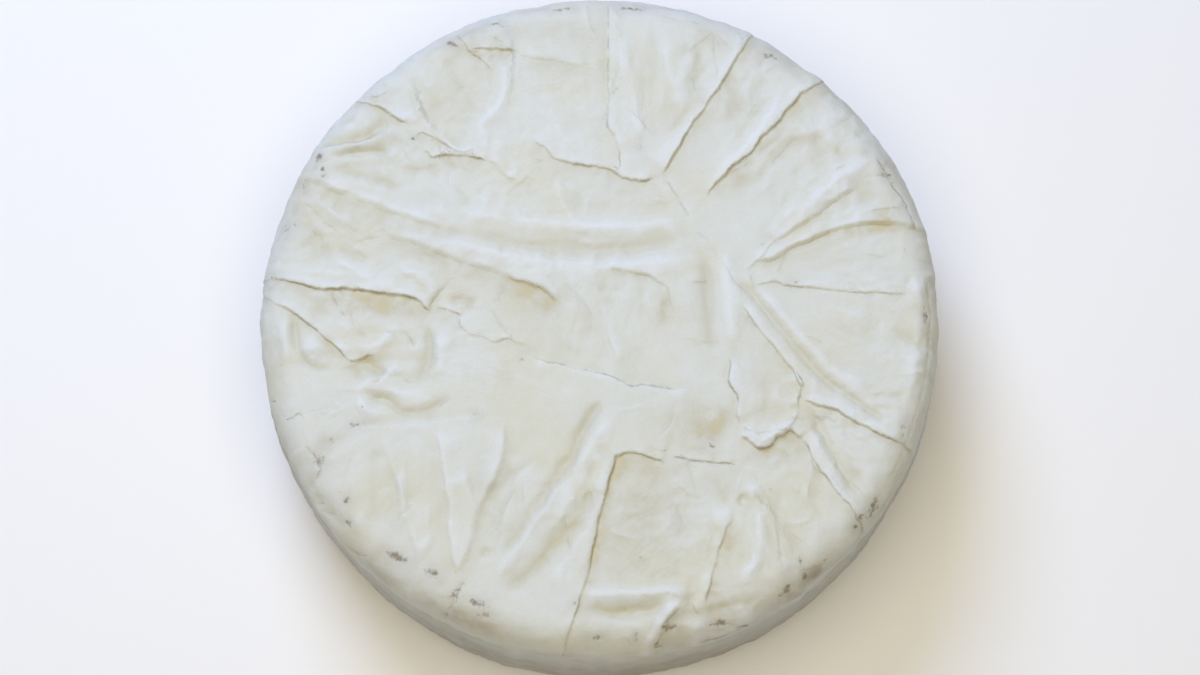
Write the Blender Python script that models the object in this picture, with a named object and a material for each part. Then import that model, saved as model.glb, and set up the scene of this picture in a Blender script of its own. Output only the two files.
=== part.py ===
"""A wheel of cheese that was pressed in folded cloth, as one solid: a flat underside to rest on, rounded
edges, a slightly bellied wall, and on the top the lips and rolls that the cloth's folds left in the rind.
Metres, +Z up. The origin is the centre of the flat underside, and +Y points away from the front."""

import math
from typing import NamedTuple

import bmesh
import bpy
import numpy as np

MM = 0.001

# Driving dimensions of the smooth wheel
WHEEL_RADIUS = 150.0 * MM  # at the belly of the wall
WHEEL_HEIGHT = 90.0 * MM
BELLY = 1.5 * MM  # how far the middle of the wall stands out
TOP_EDGE_RADIUS = 14.0 * MM
BASE_EDGE_RADIUS = 12.0 * MM
CROWN = 1.0 * MM  # how far the middle of the top stands above its edge

# Fineness of the mesh
TOP_CELLS = 190
EDGE_STEPS = 8
WALL_STEPS = 20
TRIANGLES = 11400
FLAT_BAND = 0.3 * MM  # what ends this near the ground after thinning is laid flat on it

# What the smooth profile works out to
EDGE_REACH = WHEEL_RADIUS - BELLY
FLAT_TOP = EDGE_REACH - TOP_EDGE_RADIUS
FLAT_BASE = EDGE_REACH - BASE_EDGE_RADIUS
TOP_ARC = TOP_EDGE_RADIUS * math.pi / 2
BASE_ARC = BASE_EDGE_RADIUS * math.pi / 2
WALL = WHEEL_HEIGHT - TOP_EDGE_RADIUS - BASE_EDGE_RADIUS

# Where the relief of the top dies away over the rounded edge and down the wall, in metres along the
# surface from the top's middle
FADE_FROM = FLAT_TOP
FADE_TO = FLAT_TOP + TOP_ARC + 0.7 * WALL

# Pleats that the cloth pressed in the wall
PLEATS = 17
PLEAT_SEED = 12
PLEAT_JITTER = 0.35  # how far a pleat strays from its even place, as a share of the spacing
PLEAT_RISE = 0.9 * MM  # at most, out or in
PLEAT_WIDTH = 6.0 * MM
PLEAT_WIDTHS = (0.7, 1.8)  # the range of widths, as shares of PLEAT_WIDTH
PLEAT_SLANT = 0.5  # sideways per unit of height, at most

# Folds of the top, in mm
CURVE_STEP = 2.5  # spacing of the points that a fold's curve is measured from
END_TAPER = 10.0  # length over which a fold dies away at its ends
GROOVE_SHARE = 0.3  # how deep the groove under a lip is, as a share of its rise

RIND_COLOUR = (0.75, 0.745, 0.67, 1.0)
RIND_ROUGHNESS = 0.62


class Lip(NamedTuple):
    """The edge of a fold, in mm: the rind stands `rise` high on the left of the path and falls away
    over `reach` behind it, and the step itself is `edge` wide."""

    path: tuple
    rise: float
    reach: float
    edge: float = 1.6


class Roll(NamedTuple):
    """A soft ridge along a path, or a valley where its rise is negative, in mm."""

    path: tuple
    rise: float
    width: float


class Mound(NamedTuple):
    """A round swelling, or a hollow where its rise is negative, in mm."""

    centre: tuple
    rise: float
    width: float


# Each path runs over the top seen from above, in mm from its middle, and one past 140 mm goes on over
# the edge.
BACK_FOLDS = {
    "panel, front edge": Lip(
        ((-31, 80), (-20, 70), (-8, 67), (5, 65), (10, 61), (20, 59), (27, 61)), 1.6, 14
    ),
    "panel, right edge": Lip(((26, 60), (49, 98), (66, 125), (76, 146)), 1.8, 12),
    "second flap": Lip(((45, 49), (58, 66), (81, 90), (94, 103), (110, 120)), 1.8, 13),
    "short flap": Lip(((-58, 121), (-45, 121), (-34, 120), (-8, 113)), 1.4, 6),
    "crease under the short flap": Lip(((-66, 132), (-58, 120), (-46, 108)), 1.2, 6),
    "curved roll": Roll(((-45, 118), (-41, 107), (-45, 93), (-56, 74)), 1.0, 3.5),
    "gather, upper lip": Lip(((-114, 104), (-105, 98), (-93, 91), (-82, 84)), 1.5, 8),
    "gather, valley": Roll(((-128, 78), (-110, 80), (-96, 88)), -1.2, 3.5),
    "gather, middle roll": Roll(((-130, 72), (-112, 75), (-90, 78)), 1.2, 3.5),
    "gather, lower lip": Lip(((-79, 75), (-73, 71), (-55, 70), (-45, 64), (-37, 60)), 1.4, 7),
}
MIDDLE_FOLDS = {
    "long fold, left half": Lip(((-140, 66), (-123, 59), (-100, 50), (-80, 42), (-58, 37)), 2.0, 9, 3.5),
    "long fold, right half": Roll(((-75, 46), (-45, 41), (0, 37), (40, 41)), 1.5, 5),
    "valley below the long fold": Roll(((-45, 32), (-20, 28), (5, 28), (38, 33)), -1.1, 3.5),
    "second fold, crest": Roll(((-100, 44), (-70, 30), (-40, 24), (0, 20), (50, 27)), 1.5, 6),
    "second fold, lower edge": Lip(((-98, 40), (-80, 31), (-50, 19), (-30, 12), (-15, 1)), 1.7, 9, 3.0),
    "centre panel, front edge": Lip(((42, -34), (14, -33), (4, -29), (-10, -25), (-31, -20)), 1.1, 10),
    "step right of the middle": Roll(((52, 24), (54, 0), (54, -19)), 1.0, 5),
}
LEFT_FOLDS = {
    "flap": Lip(((-170, 20), (-147, 16), (-120, 11), (-92, 8), (-80, 5), (-73, 0)), 1.9, 10),
    "folded band": Lip(((-165, 16), (-147, 8), (-130, -2), (-107, -22), (-96, -19)), 1.6, 8),
    "wrinkle round the blister": Roll(((-136, 2), (-136, -14), (-127, -25), (-113, -23)), -1.1, 3),
    "blister": Mound((-122, -16), 1.6, 5),
    "inner wrinkle, ridge": Roll(((-105, -20), (-94, -14), (-87, -5)), 1.4, 3.5),
    "inner wrinkle, valley": Roll(((-76, -5), (-74, -19), (-81, -31)), -1.1, 3.5),
    "forked wrinkle, upper arm": Roll(((-107, -37), (-96, -29), (-84, -21)), 1.2, 3.5),
    "forked wrinkle, lower arm": Roll(((-107, -35), (-101, -43), (-95, -50)), 1.0, 3),
    "valley behind the front panel": Roll(((-103, -37), (-90, -39), (-79, -44), (-62, -38)), -1.0, 3.5),
    "front panel, back edge": Lip(((-48, -46), (-70, -47), (-90, -50), (-108, -51)), 0.9, 10),
    "front panel, pleat": Roll(((-70, -52), (-66, -75), (-63, -100), (-61, -117)), -0.9, 3),
    "front panel, long pleat": Roll(((-95, -54), (-89, -72), (-83, -92), (-77, -110)), -0.7, 4),
    "front panel, right pleat": Roll(((-41, -48), (-42, -70), (-52, -90), (-61, -114)), -0.9, 3),
}
FRONT_FOLDS = {
    "slanting roll": Roll(((9, -42), (-4, -60), (-20, -82), (-34, -102), (-45, -120)), 1.3, 5.5),
    "valley left of it": Roll(((2, -38), (-12, -62), (-27, -86), (-42, -108)), -0.9, 4),
    "valley right of it": Roll(((-3, -74), (-12, -94), (-26, -109), (-40, -122)), -0.9, 4.5),
    "sunk panel, left edge": Lip(((-18, -162), (-15, -145), (-8, -124), (-1, -95), (8, -62)), 1.9, 10),
    "sunk panel, back edge": Lip(((6, -64), (14, -62), (28, -65), (60, -68)), 1.3, 9),
    "sunk panel, right edge": Lip(((44, -131), (49, -115), (58, -90)), 1.3, 7),
    "front roll": Roll(((-6, -125), (10, -123), (26, -123), (40, -127)), 1.7, 4),
    "hollow before the roll": Roll(((-6, -131), (10, -132), (26, -129)), -1.5, 4),
    "tuck over the edge": Roll(((22, -158), (24, -143), (30, -132), (38, -126)), 1.6, 3.5),
    "swollen edge": Roll(((34, -150), (52, -143), (72, -134)), 1.8, 6),
}
RIGHT_FOLDS = {
    "tongue": Mound((70, -38), 1.5, 14),
    "tongue, front lip": Lip(((61, -53), (68, -60), (77, -56), (83, -53), (89, -58)), 2.3, 7),
    "tongue, left side": Lip(((57, -20), (56, -31), (59, -39), (59, -44), (61, -50)), 1.3, 7),
    "diagonal fold, left edge": Lip(((61, 4), (73, -13), (83, -25), (88, -41)), 1.4, 6),
    "diagonal fold, groove": Roll(((58, 15), (80, -12), (95, -31), (110, -44), (124, -51)), -1.2, 3),
    "lower flap, front edge": Lip(((87, -40), (100, -43), (122, -54), (134, -60), (152, -68)), 1.6, 10),
    "slanting strip, left edge": Lip(((87, -56), (96, -70), (112, -91), (122, -104)), 1.6, 7),
    "slanting strip, groove": Roll(((90, -42), (96, -54), (103, -68), (112, -83)), -1.2, 3),
    "pleat before the tongue": Roll(((88, -60), (88, -72), (86, -86)), 1.0, 3),
    "pleat beside the sunk panel": Roll(((62, -84), (65, -100), (63, -118)), 1.1, 3.5),
    "upper flap, front edge": Lip(
        ((66, 20), (80, 26), (95, 33), (110, 38), (128, 40), (160, 42)), 2.2, 11, 4.0
    ),
    "slanting roll": Roll(((76, 32), (95, 47), (110, 59), (130, 70)), 1.5, 6),
    "strip below the upper flap": Lip(((67, 12), (85, 11), (110, 9), (132, 8)), 1.0, 9),
}


def smoothstep(low, high, value):
    share = np.clip((value - low) / (high - low), 0, 1)
    return share * share * (3 - 2 * share)


def curve_through(points):
    """Closely spaced points on a Catmull-Rom curve through the given ones."""
    knots = np.array(points, float)
    knots = np.vstack([2 * knots[0] - knots[1], knots, 2 * knots[-1] - knots[-2]])
    pieces = []
    for before, start, end, after in zip(knots, knots[1:], knots[2:], knots[3:]):
        count = max(2, round(np.linalg.norm(end - start) / CURVE_STEP))
        t = np.arange(count)[:, None] / count
        bend = 2 * before - 5 * start + 4 * end - after
        twist = -before + 3 * start - 3 * end + after
        pieces.append(start + 0.5 * t * (end - before + t * (bend + t * twist)))
    return np.vstack([*pieces, knots[-2:-1]])


def measure_from(path, x, y):
    """How far each point is from the path, + on its left and - on its right, and how far along the path
    the nearer of its two ends is."""
    line = curve_through(path)
    steps = np.diff(line, axis=0)
    lengths = np.linalg.norm(steps, axis=1)
    starts = np.concatenate([[0], np.cumsum(lengths)])
    nearest = np.full(x.shape, np.inf)
    side = np.ones(x.shape)
    along = np.zeros(x.shape)
    for corner, step, length, start in zip(line, steps, lengths, starts):
        dx, dy = x - corner[0], y - corner[1]
        share = np.clip((dx * step[0] + dy * step[1]) / length**2, 0, 1)
        distance = np.hypot(dx - share * step[0], dy - share * step[1])
        closer = distance < nearest
        nearest = np.where(closer, distance, nearest)
        side = np.where(closer, np.sign(step[0] * dy - step[1] * dx), side)
        along = np.where(closer, start + share * length, along)
    return nearest * side, np.minimum(along, starts[-1] - along)


def fold_height(fold, x, y):
    """Height in mm that one fold adds at points x, y in mm."""
    if isinstance(fold, Mound):
        away = np.hypot(x - fold.centre[0], y - fold.centre[1])
        return fold.rise * np.exp(-((away / fold.width) ** 2))
    offset, from_end = measure_from(fold.path, x, y)
    taper = smoothstep(0, END_TAPER, from_end)
    if isinstance(fold, Roll):
        return fold.rise * taper * np.exp(-((offset / fold.width) ** 2))
    step = smoothstep(-fold.edge / 2, fold.edge / 2, offset)
    raised = step * np.exp(-np.maximum(offset, 0) / fold.reach)
    groove = GROOVE_SHARE * np.exp(-(((offset + fold.edge) / fold.edge) ** 2))
    return fold.rise * taper * (raised - groove)


def top_relief(x, y):
    """Height in metres that all the folds add over the smooth top, at points in metres."""
    total = np.zeros(x.shape)
    for region in (BACK_FOLDS, MIDDLE_FOLDS, LEFT_FOLDS, FRONT_FOLDS, RIGHT_FOLDS):
        for fold in region.values():
            total += fold_height(fold, x / MM, y / MM)
    return total * MM


def wall_relief(angle, height):
    """Soft slanting pleats in the wall, spread round it with a seeded jitter."""
    draw = np.random.default_rng(PLEAT_SEED)
    total = np.zeros(angle.shape)
    middle = WHEEL_HEIGHT / 2
    for pleat in range(PLEATS):
        around = 2 * math.pi * (pleat + draw.uniform(-PLEAT_JITTER, PLEAT_JITTER)) / PLEATS
        slant = PLEAT_SLANT * draw.uniform(-1, 1)
        rise = PLEAT_RISE * draw.uniform(-1, 1)
        width = PLEAT_WIDTH * draw.uniform(*PLEAT_WIDTHS)
        turn = (angle - around + math.pi) % (2 * math.pi) - math.pi
        offset = turn * EDGE_REACH - slant * (height - middle)
        total += rise * np.exp(-((offset / width) ** 2))
    above_base = smoothstep(0, BASE_EDGE_RADIUS, height)
    below_top = smoothstep(0, TOP_EDGE_RADIUS, WHEEL_HEIGHT - height)
    return total * above_base * below_top


def profile(arc):
    """Radius, height and outward direction (sideways, upwards) of the smooth wheel, at a distance along
    its surface from the top's middle."""
    if arc <= FLAT_TOP:
        return arc, WHEEL_HEIGHT, 0.0, 1.0
    turn = (arc - FLAT_TOP) / TOP_EDGE_RADIUS
    if turn <= math.pi / 2:
        out, up = math.sin(turn), math.cos(turn)
        return FLAT_TOP + TOP_EDGE_RADIUS * out, WHEEL_HEIGHT - TOP_EDGE_RADIUS * (1 - up), out, up
    down = arc - FLAT_TOP - TOP_ARC
    if down <= WALL:
        bulge = BELLY * math.sin(math.pi * down / WALL) ** 2
        return EDGE_REACH + bulge, WHEEL_HEIGHT - TOP_EDGE_RADIUS - down, 1.0, 0.0
    turn = min((down - WALL) / BASE_EDGE_RADIUS, math.pi / 2)
    out, under = math.cos(turn), -math.sin(turn)
    return FLAT_BASE + BASE_EDGE_RADIUS * out, BASE_EDGE_RADIUS * (1 + under), out, under


def ring_arcs():
    """Where the rings of vertices lie below the rim of the flat top, as distances along the surface."""
    bends = [TOP_ARC * (step + 1) / EDGE_STEPS for step in range(EDGE_STEPS)]
    walls = [TOP_ARC + WALL * (step + 1) / WALL_STEPS for step in range(WALL_STEPS)]
    base = [TOP_ARC + WALL + BASE_ARC * (step + 1) / EDGE_STEPS for step in range(EDGE_STEPS)]
    return [FLAT_TOP + arc for arc in bends + walls + base]


def blank_wheel():
    """The smooth wheel's faces, laid out flat: a square grid bent into the round top, whose rim is
    extruded down to the underside. Each vertex lies in its own direction from the top's middle, as far
    out as its distance along the surface."""
    blank = bmesh.new()
    bmesh.ops.create_grid(blank, x_segments=TOP_CELLS, y_segments=TOP_CELLS, size=1.0)
    for vert in blank.verts:
        x, y, _ = vert.co
        vert.co.x = FLAT_TOP * x * math.sqrt(1 - y * y / 2)
        vert.co.y = FLAT_TOP * y * math.sqrt(1 - x * x / 2)
    rim = [edge for edge in blank.edges if edge.is_boundary]
    for arc in ring_arcs():
        grown = bmesh.ops.extrude_edge_only(blank, edges=rim)["geom"]
        for vert in (part for part in grown if isinstance(part, bmesh.types.BMVert)):
            vert.co.xy = vert.co.xy.normalized() * arc
        rim = [part for part in grown if isinstance(part, bmesh.types.BMEdge) and part.is_boundary]
    bmesh.ops.contextual_create(blank, geom=rim)
    bmesh.ops.triangulate(blank, faces=blank.faces)
    bmesh.ops.recalc_face_normals(blank, faces=blank.faces)
    return blank


def raise_relief(blank):
    """Folds the flat layout down over the wheel's profile, and raises the relief along the outward
    direction there."""
    flat = np.array([vert.co[:2] for vert in blank.verts])
    arc = np.hypot(flat[:, 0], flat[:, 1])
    angle = np.arctan2(flat[:, 1], flat[:, 0])
    radius, height, out, up = np.array([profile(value) for value in arc]).T
    fade = 1 - smoothstep(FADE_FROM, FADE_TO, arc)
    crown = CROWN * (1 - np.minimum(arc / FLAT_TOP, 1) ** 2)
    rise = crown + fade * top_relief(flat[:, 0], flat[:, 1]) + wall_relief(angle, height)
    radius = radius + rise * out
    height = height + rise * up
    points = np.stack([radius * np.cos(angle), radius * np.sin(angle), height], axis=1)
    for vert, point in zip(blank.verts, points):
        vert.co = point


def rind_material():
    """Off-white natural rind: matt, with no metal."""
    material = bpy.data.materials.new("pressed rind")
    material.use_nodes = True
    shader = material.node_tree.nodes["Principled BSDF"]
    shader.inputs["Base Color"].default_value = RIND_COLOUR
    shader.inputs["Roughness"].default_value = RIND_ROUGHNESS
    shader.inputs["Metallic"].default_value = 0.0
    return material


def thin_mesh(wheel):
    """Thins the mesh to TRIANGLES, most of them where the relief bends, and lays the underside flat."""
    thinner = wheel.modifiers.new("thin", "DECIMATE")
    thinner.ratio = TRIANGLES / len(wheel.data.polygons)
    bpy.context.view_layer.update()
    thinned = wheel.evaluated_get(bpy.context.evaluated_depsgraph_get())
    mesh = bpy.data.meshes.new_from_object(thinned)
    wheel.modifiers.remove(thinner)
    wheel.data = mesh
    for vert in mesh.vertices:
        if vert.co.z < FLAT_BAND:
            vert.co.z = 0.0


def cheese_wheel():
    blank = blank_wheel()
    raise_relief(blank)
    mesh = bpy.data.meshes.new("cheese_wheel")
    blank.to_mesh(mesh)
    blank.free()
    wheel = bpy.data.objects.new("cheese_wheel", mesh)
    bpy.context.scene.collection.objects.link(wheel)
    thin_mesh(wheel)
    wheel.data.materials.append(rind_material())
    wheel.data.shade_smooth()
    return wheel


for stale in list(bpy.data.objects):
    bpy.data.objects.remove(stale)
cheese_wheel()
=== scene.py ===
import math

import bpy
import numpy as np
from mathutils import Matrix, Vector


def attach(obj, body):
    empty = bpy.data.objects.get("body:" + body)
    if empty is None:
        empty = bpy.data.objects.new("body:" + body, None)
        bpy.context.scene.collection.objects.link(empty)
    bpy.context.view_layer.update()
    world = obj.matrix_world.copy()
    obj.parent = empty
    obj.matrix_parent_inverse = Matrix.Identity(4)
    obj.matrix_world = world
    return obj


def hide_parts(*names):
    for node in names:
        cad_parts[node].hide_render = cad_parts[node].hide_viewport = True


# A wheel of natural-rind cheese that was pressed in folded cloth. Lengths in the dictionaries are in mm, and
# paths over the top are seen from above, in mm from its middle, +y away from the front.

mm = 0.001

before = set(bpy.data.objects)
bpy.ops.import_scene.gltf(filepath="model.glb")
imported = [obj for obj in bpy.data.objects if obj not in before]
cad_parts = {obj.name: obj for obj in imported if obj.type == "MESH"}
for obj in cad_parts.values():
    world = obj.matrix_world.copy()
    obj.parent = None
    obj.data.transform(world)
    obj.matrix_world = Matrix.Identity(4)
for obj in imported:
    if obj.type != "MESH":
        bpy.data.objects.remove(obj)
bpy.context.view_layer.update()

for stale in [o for o in bpy.data.objects if o.type in ("LIGHT", "CAMERA")]:
    bpy.data.objects.remove(stale)

scene = bpy.context.scene
scene.view_settings.view_transform = "Standard"
scene.view_settings.look = "None"


# Smooth step from 0 at low to 1 at high: 3t² - 2t³ of the share t of the way.
def smoothStep(low, high, value):
    share = np.clip((value - low) / (high - low), 0, 1)
    return share * share * (3 - 2 * share)


# Lattice noise: random heights from -1 to 1 on a square lattice of the given spacing, joined by smooth steps.
def latticeNoise(x, y, spacing, seed):
    side = 256
    table = np.random.default_rng(seed).uniform(-1, 1, (side, side))
    column, row = x / spacing, y / spacing
    i, j = np.floor(column).astype(int), np.floor(row).astype(int)
    u, v = smoothStep(0, 1, column - i), smoothStep(0, 1, row - j)
    i0, i1, j0, j1 = i % side, (i + 1) % side, j % side, (j + 1) % side
    near = table[i0, j0] * (1 - v) + table[i0, j1] * v
    far = table[i1, j0] * (1 - v) + table[i1, j1] * v
    return near * (1 - u) + far * u


# Two lattices, the second half as coarse, half as high and turned by 0.6 rad, so that no grid shows.
def roughNoise(x, y, spacing, seed):
    turn = 0.6
    c, s = math.cos(turn), math.sin(turn)
    finer = latticeNoise(x * c - y * s, x * s + y * c, spacing / 2, seed + 1)
    return latticeNoise(x, y, spacing, seed) + 0.5 * finer


# Camera: the wheel seen from the front at 75 degrees, framed as in the photograph (1200 pixels wide)
view = dict(elevation=75.0, distance=1200.0, aimHeight=90.0, focalPixels=2765.1, frameWidth=1200.0, dip=0.531)


# The camera stands at distance along (0, -cos e, sin e) from the top's middle, and looks dip degrees below it.
def makeCamera():
    e = math.radians(view["elevation"])
    back = Vector((0.0, -math.cos(e), math.sin(e)))
    data = bpy.data.cameras.new("camera")
    data.sensor_width = 36.0
    data.lens = view["focalPixels"] / view["frameWidth"] * data.sensor_width
    camera = bpy.data.objects.new("camera", data)
    scene.collection.objects.link(camera)
    camera.location = (Vector((0, 0, view["aimHeight"])) + back * view["distance"]) * mm
    camera.rotation_euler = (math.radians(90 - view["elevation"] - view["dip"]), 0, 0)
    scene.camera = camera


# Lights: daylight from a window behind and to the left, and a warm wide fill from above
lights = {
    "window": dict(azimuth=113.0, elevation=47.0, away=1.7, size=0.9, watts=22.0, colour="#b6ccff"),
    "fill": dict(azimuth=258.0, elevation=81.0, away=1.6, size=1.6, watts=16.7, colour="#fff6de"),
}
surround = dict(colour="#f0f3f8", strength=0.22)


# One channel of an sRGB hex colour made linear, c/12.92 below 0.04045 and ((c + 0.055)/1.055)^2.4 above.
def linear(hexColour):
    channels = [int(hexColour[k : k + 2], 16) / 255 for k in (1, 3, 5)]
    return tuple(c / 12.92 if c <= 0.04045 else ((c + 0.055) / 1.055) ** 2.4 for c in channels)


# Each light stands away from the wheel's middle in its direction and faces it.
def makeLights():
    middle = Vector((0, 0, wheel["height"] * mm))
    for name, setting in lights.items():
        a, e = math.radians(setting["azimuth"]), math.radians(setting["elevation"])
        out = Vector((math.cos(a) * math.cos(e), math.sin(a) * math.cos(e), math.sin(e)))
        data = bpy.data.lights.new(name, "AREA")
        data.shape = "DISK"
        data.size = setting["size"]
        data.energy = setting["watts"]
        data.color = linear(setting["colour"])
        lamp = bpy.data.objects.new(name, data)
        scene.collection.objects.link(lamp)
        lamp.location = middle + out * setting["away"]
        lamp.rotation_euler = (-out).to_track_quat("-Z", "Y").to_euler()
    world = bpy.data.worlds.new("surround")
    world.use_nodes = True
    background = world.node_tree.nodes["Background"]
    background.inputs["Color"].default_value = (*linear(surround["colour"]), 1)
    background.inputs["Strength"].default_value = surround["strength"]
    scene.world = world


# The smooth wheel, and how finely it is made
wheel = dict(
    radius=150.0,  # at the belly of the wall
    height=90.0,
    belly=1.5,  # how far the middle of the wall stands out
    topEdge=14.0,
    baseEdge=12.0,
    crown=1.0,  # how far the middle of the top stands above its edge
    fadeShare=0.7,  # the top's folds die away over this share of the wall
    cells=500,  # across the top
    ringStep=0.9,
    mapStep=0.5,  # of the maps that the folds are drawn on
    underRings=24,
    triangles=194000,
)
edgeReach = wheel["radius"] - wheel["belly"]
flatTop = edgeReach - wheel["topEdge"]
flatBase = edgeReach - wheel["baseEdge"]
topArc = wheel["topEdge"] * math.pi / 2
baseArc = wheel["baseEdge"] * math.pi / 2
wallLength = wheel["height"] - wheel["topEdge"] - wheel["baseEdge"]
wallFrom = flatTop + topArc
wallTo = wallFrom + wallLength
baseFrom = wallTo + baseArc

# Where along the surface each thing starts and ends
foldsFade = (flatTop - 4, wallFrom + wheel["fadeShare"] * wallLength)
groundFade = (wallTo - 6, baseFrom - 3)  # the small unevenness
marksFade = (wallTo - 12, baseFrom - 4)  # lines and stains, with the painted shade in them
# the rounded edge's and the wall's dust, with painted shade in it
edgeGrimeAndShade = (flatTop + 4, wallFrom)
wallGrimeAndShade = (wallFrom - 3, wallFrom + 30)
drawnTight = (flatTop - 6, flatTop + 13)  # the cloth is drawn tight here, and its folds are lower


# The share of each fold's rise that is drawn, which sets how deep the whole relief is.
depth = dict(lip=0.68, roll=1.2, crease=1.0, mound=1.0)
tightness = dict(lip=0.6, roll=0.35, crease=0.35)  # the share of it that is lost over the rounded edge


# The edge of a fold: the rind stands rise high on the left of the path and falls away over reach. The step is
# edge wide and wanders by ragged. line is how dark the crevice is, dirt and painted shade in it, and stain how brown
# the rind before it is, partly a stain and partly painted shade below the step.
def lip(path, rise, reach, edge=0.8, ragged=0.5, line=0.5, stainAndShade=0.4, fall=4.0, ends=8.0):
    return dict(kind="lip", path=path, rise=rise, reach=reach, edge=edge, ragged=ragged, line=line,
                stainAndShade=stainAndShade, fall=fall, ends=ends)


# A soft ridge along a path, or a valley where its rise is negative. Its stain amount browns it, partly as a stain and
# partly as painted shade in a valley.
# flare makes it wider at its end than at its start, by that share either way.
def roll(path, rise, width, stainAndShade=0.0, ends=9.0, ragged=0.3, flare=0.0):
    return dict(kind="roll", path=path, rise=rise, width=width, stainAndShade=stainAndShade, ends=ends, ragged=ragged, flare=flare)


# A thin crease with hardly any step.
def crease(path, line=0.4, dip=0.25, width=0.7, ends=5.0, ragged=0.5):
    return dict(kind="crease", path=path, line=line, rise=-dip, width=width, ends=ends, ragged=ragged)


# A round swelling, or a hollow where its rise is negative.
def mound(centre, rise, width):
    return dict(kind="mound", centre=centre, rise=rise, width=width)


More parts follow.
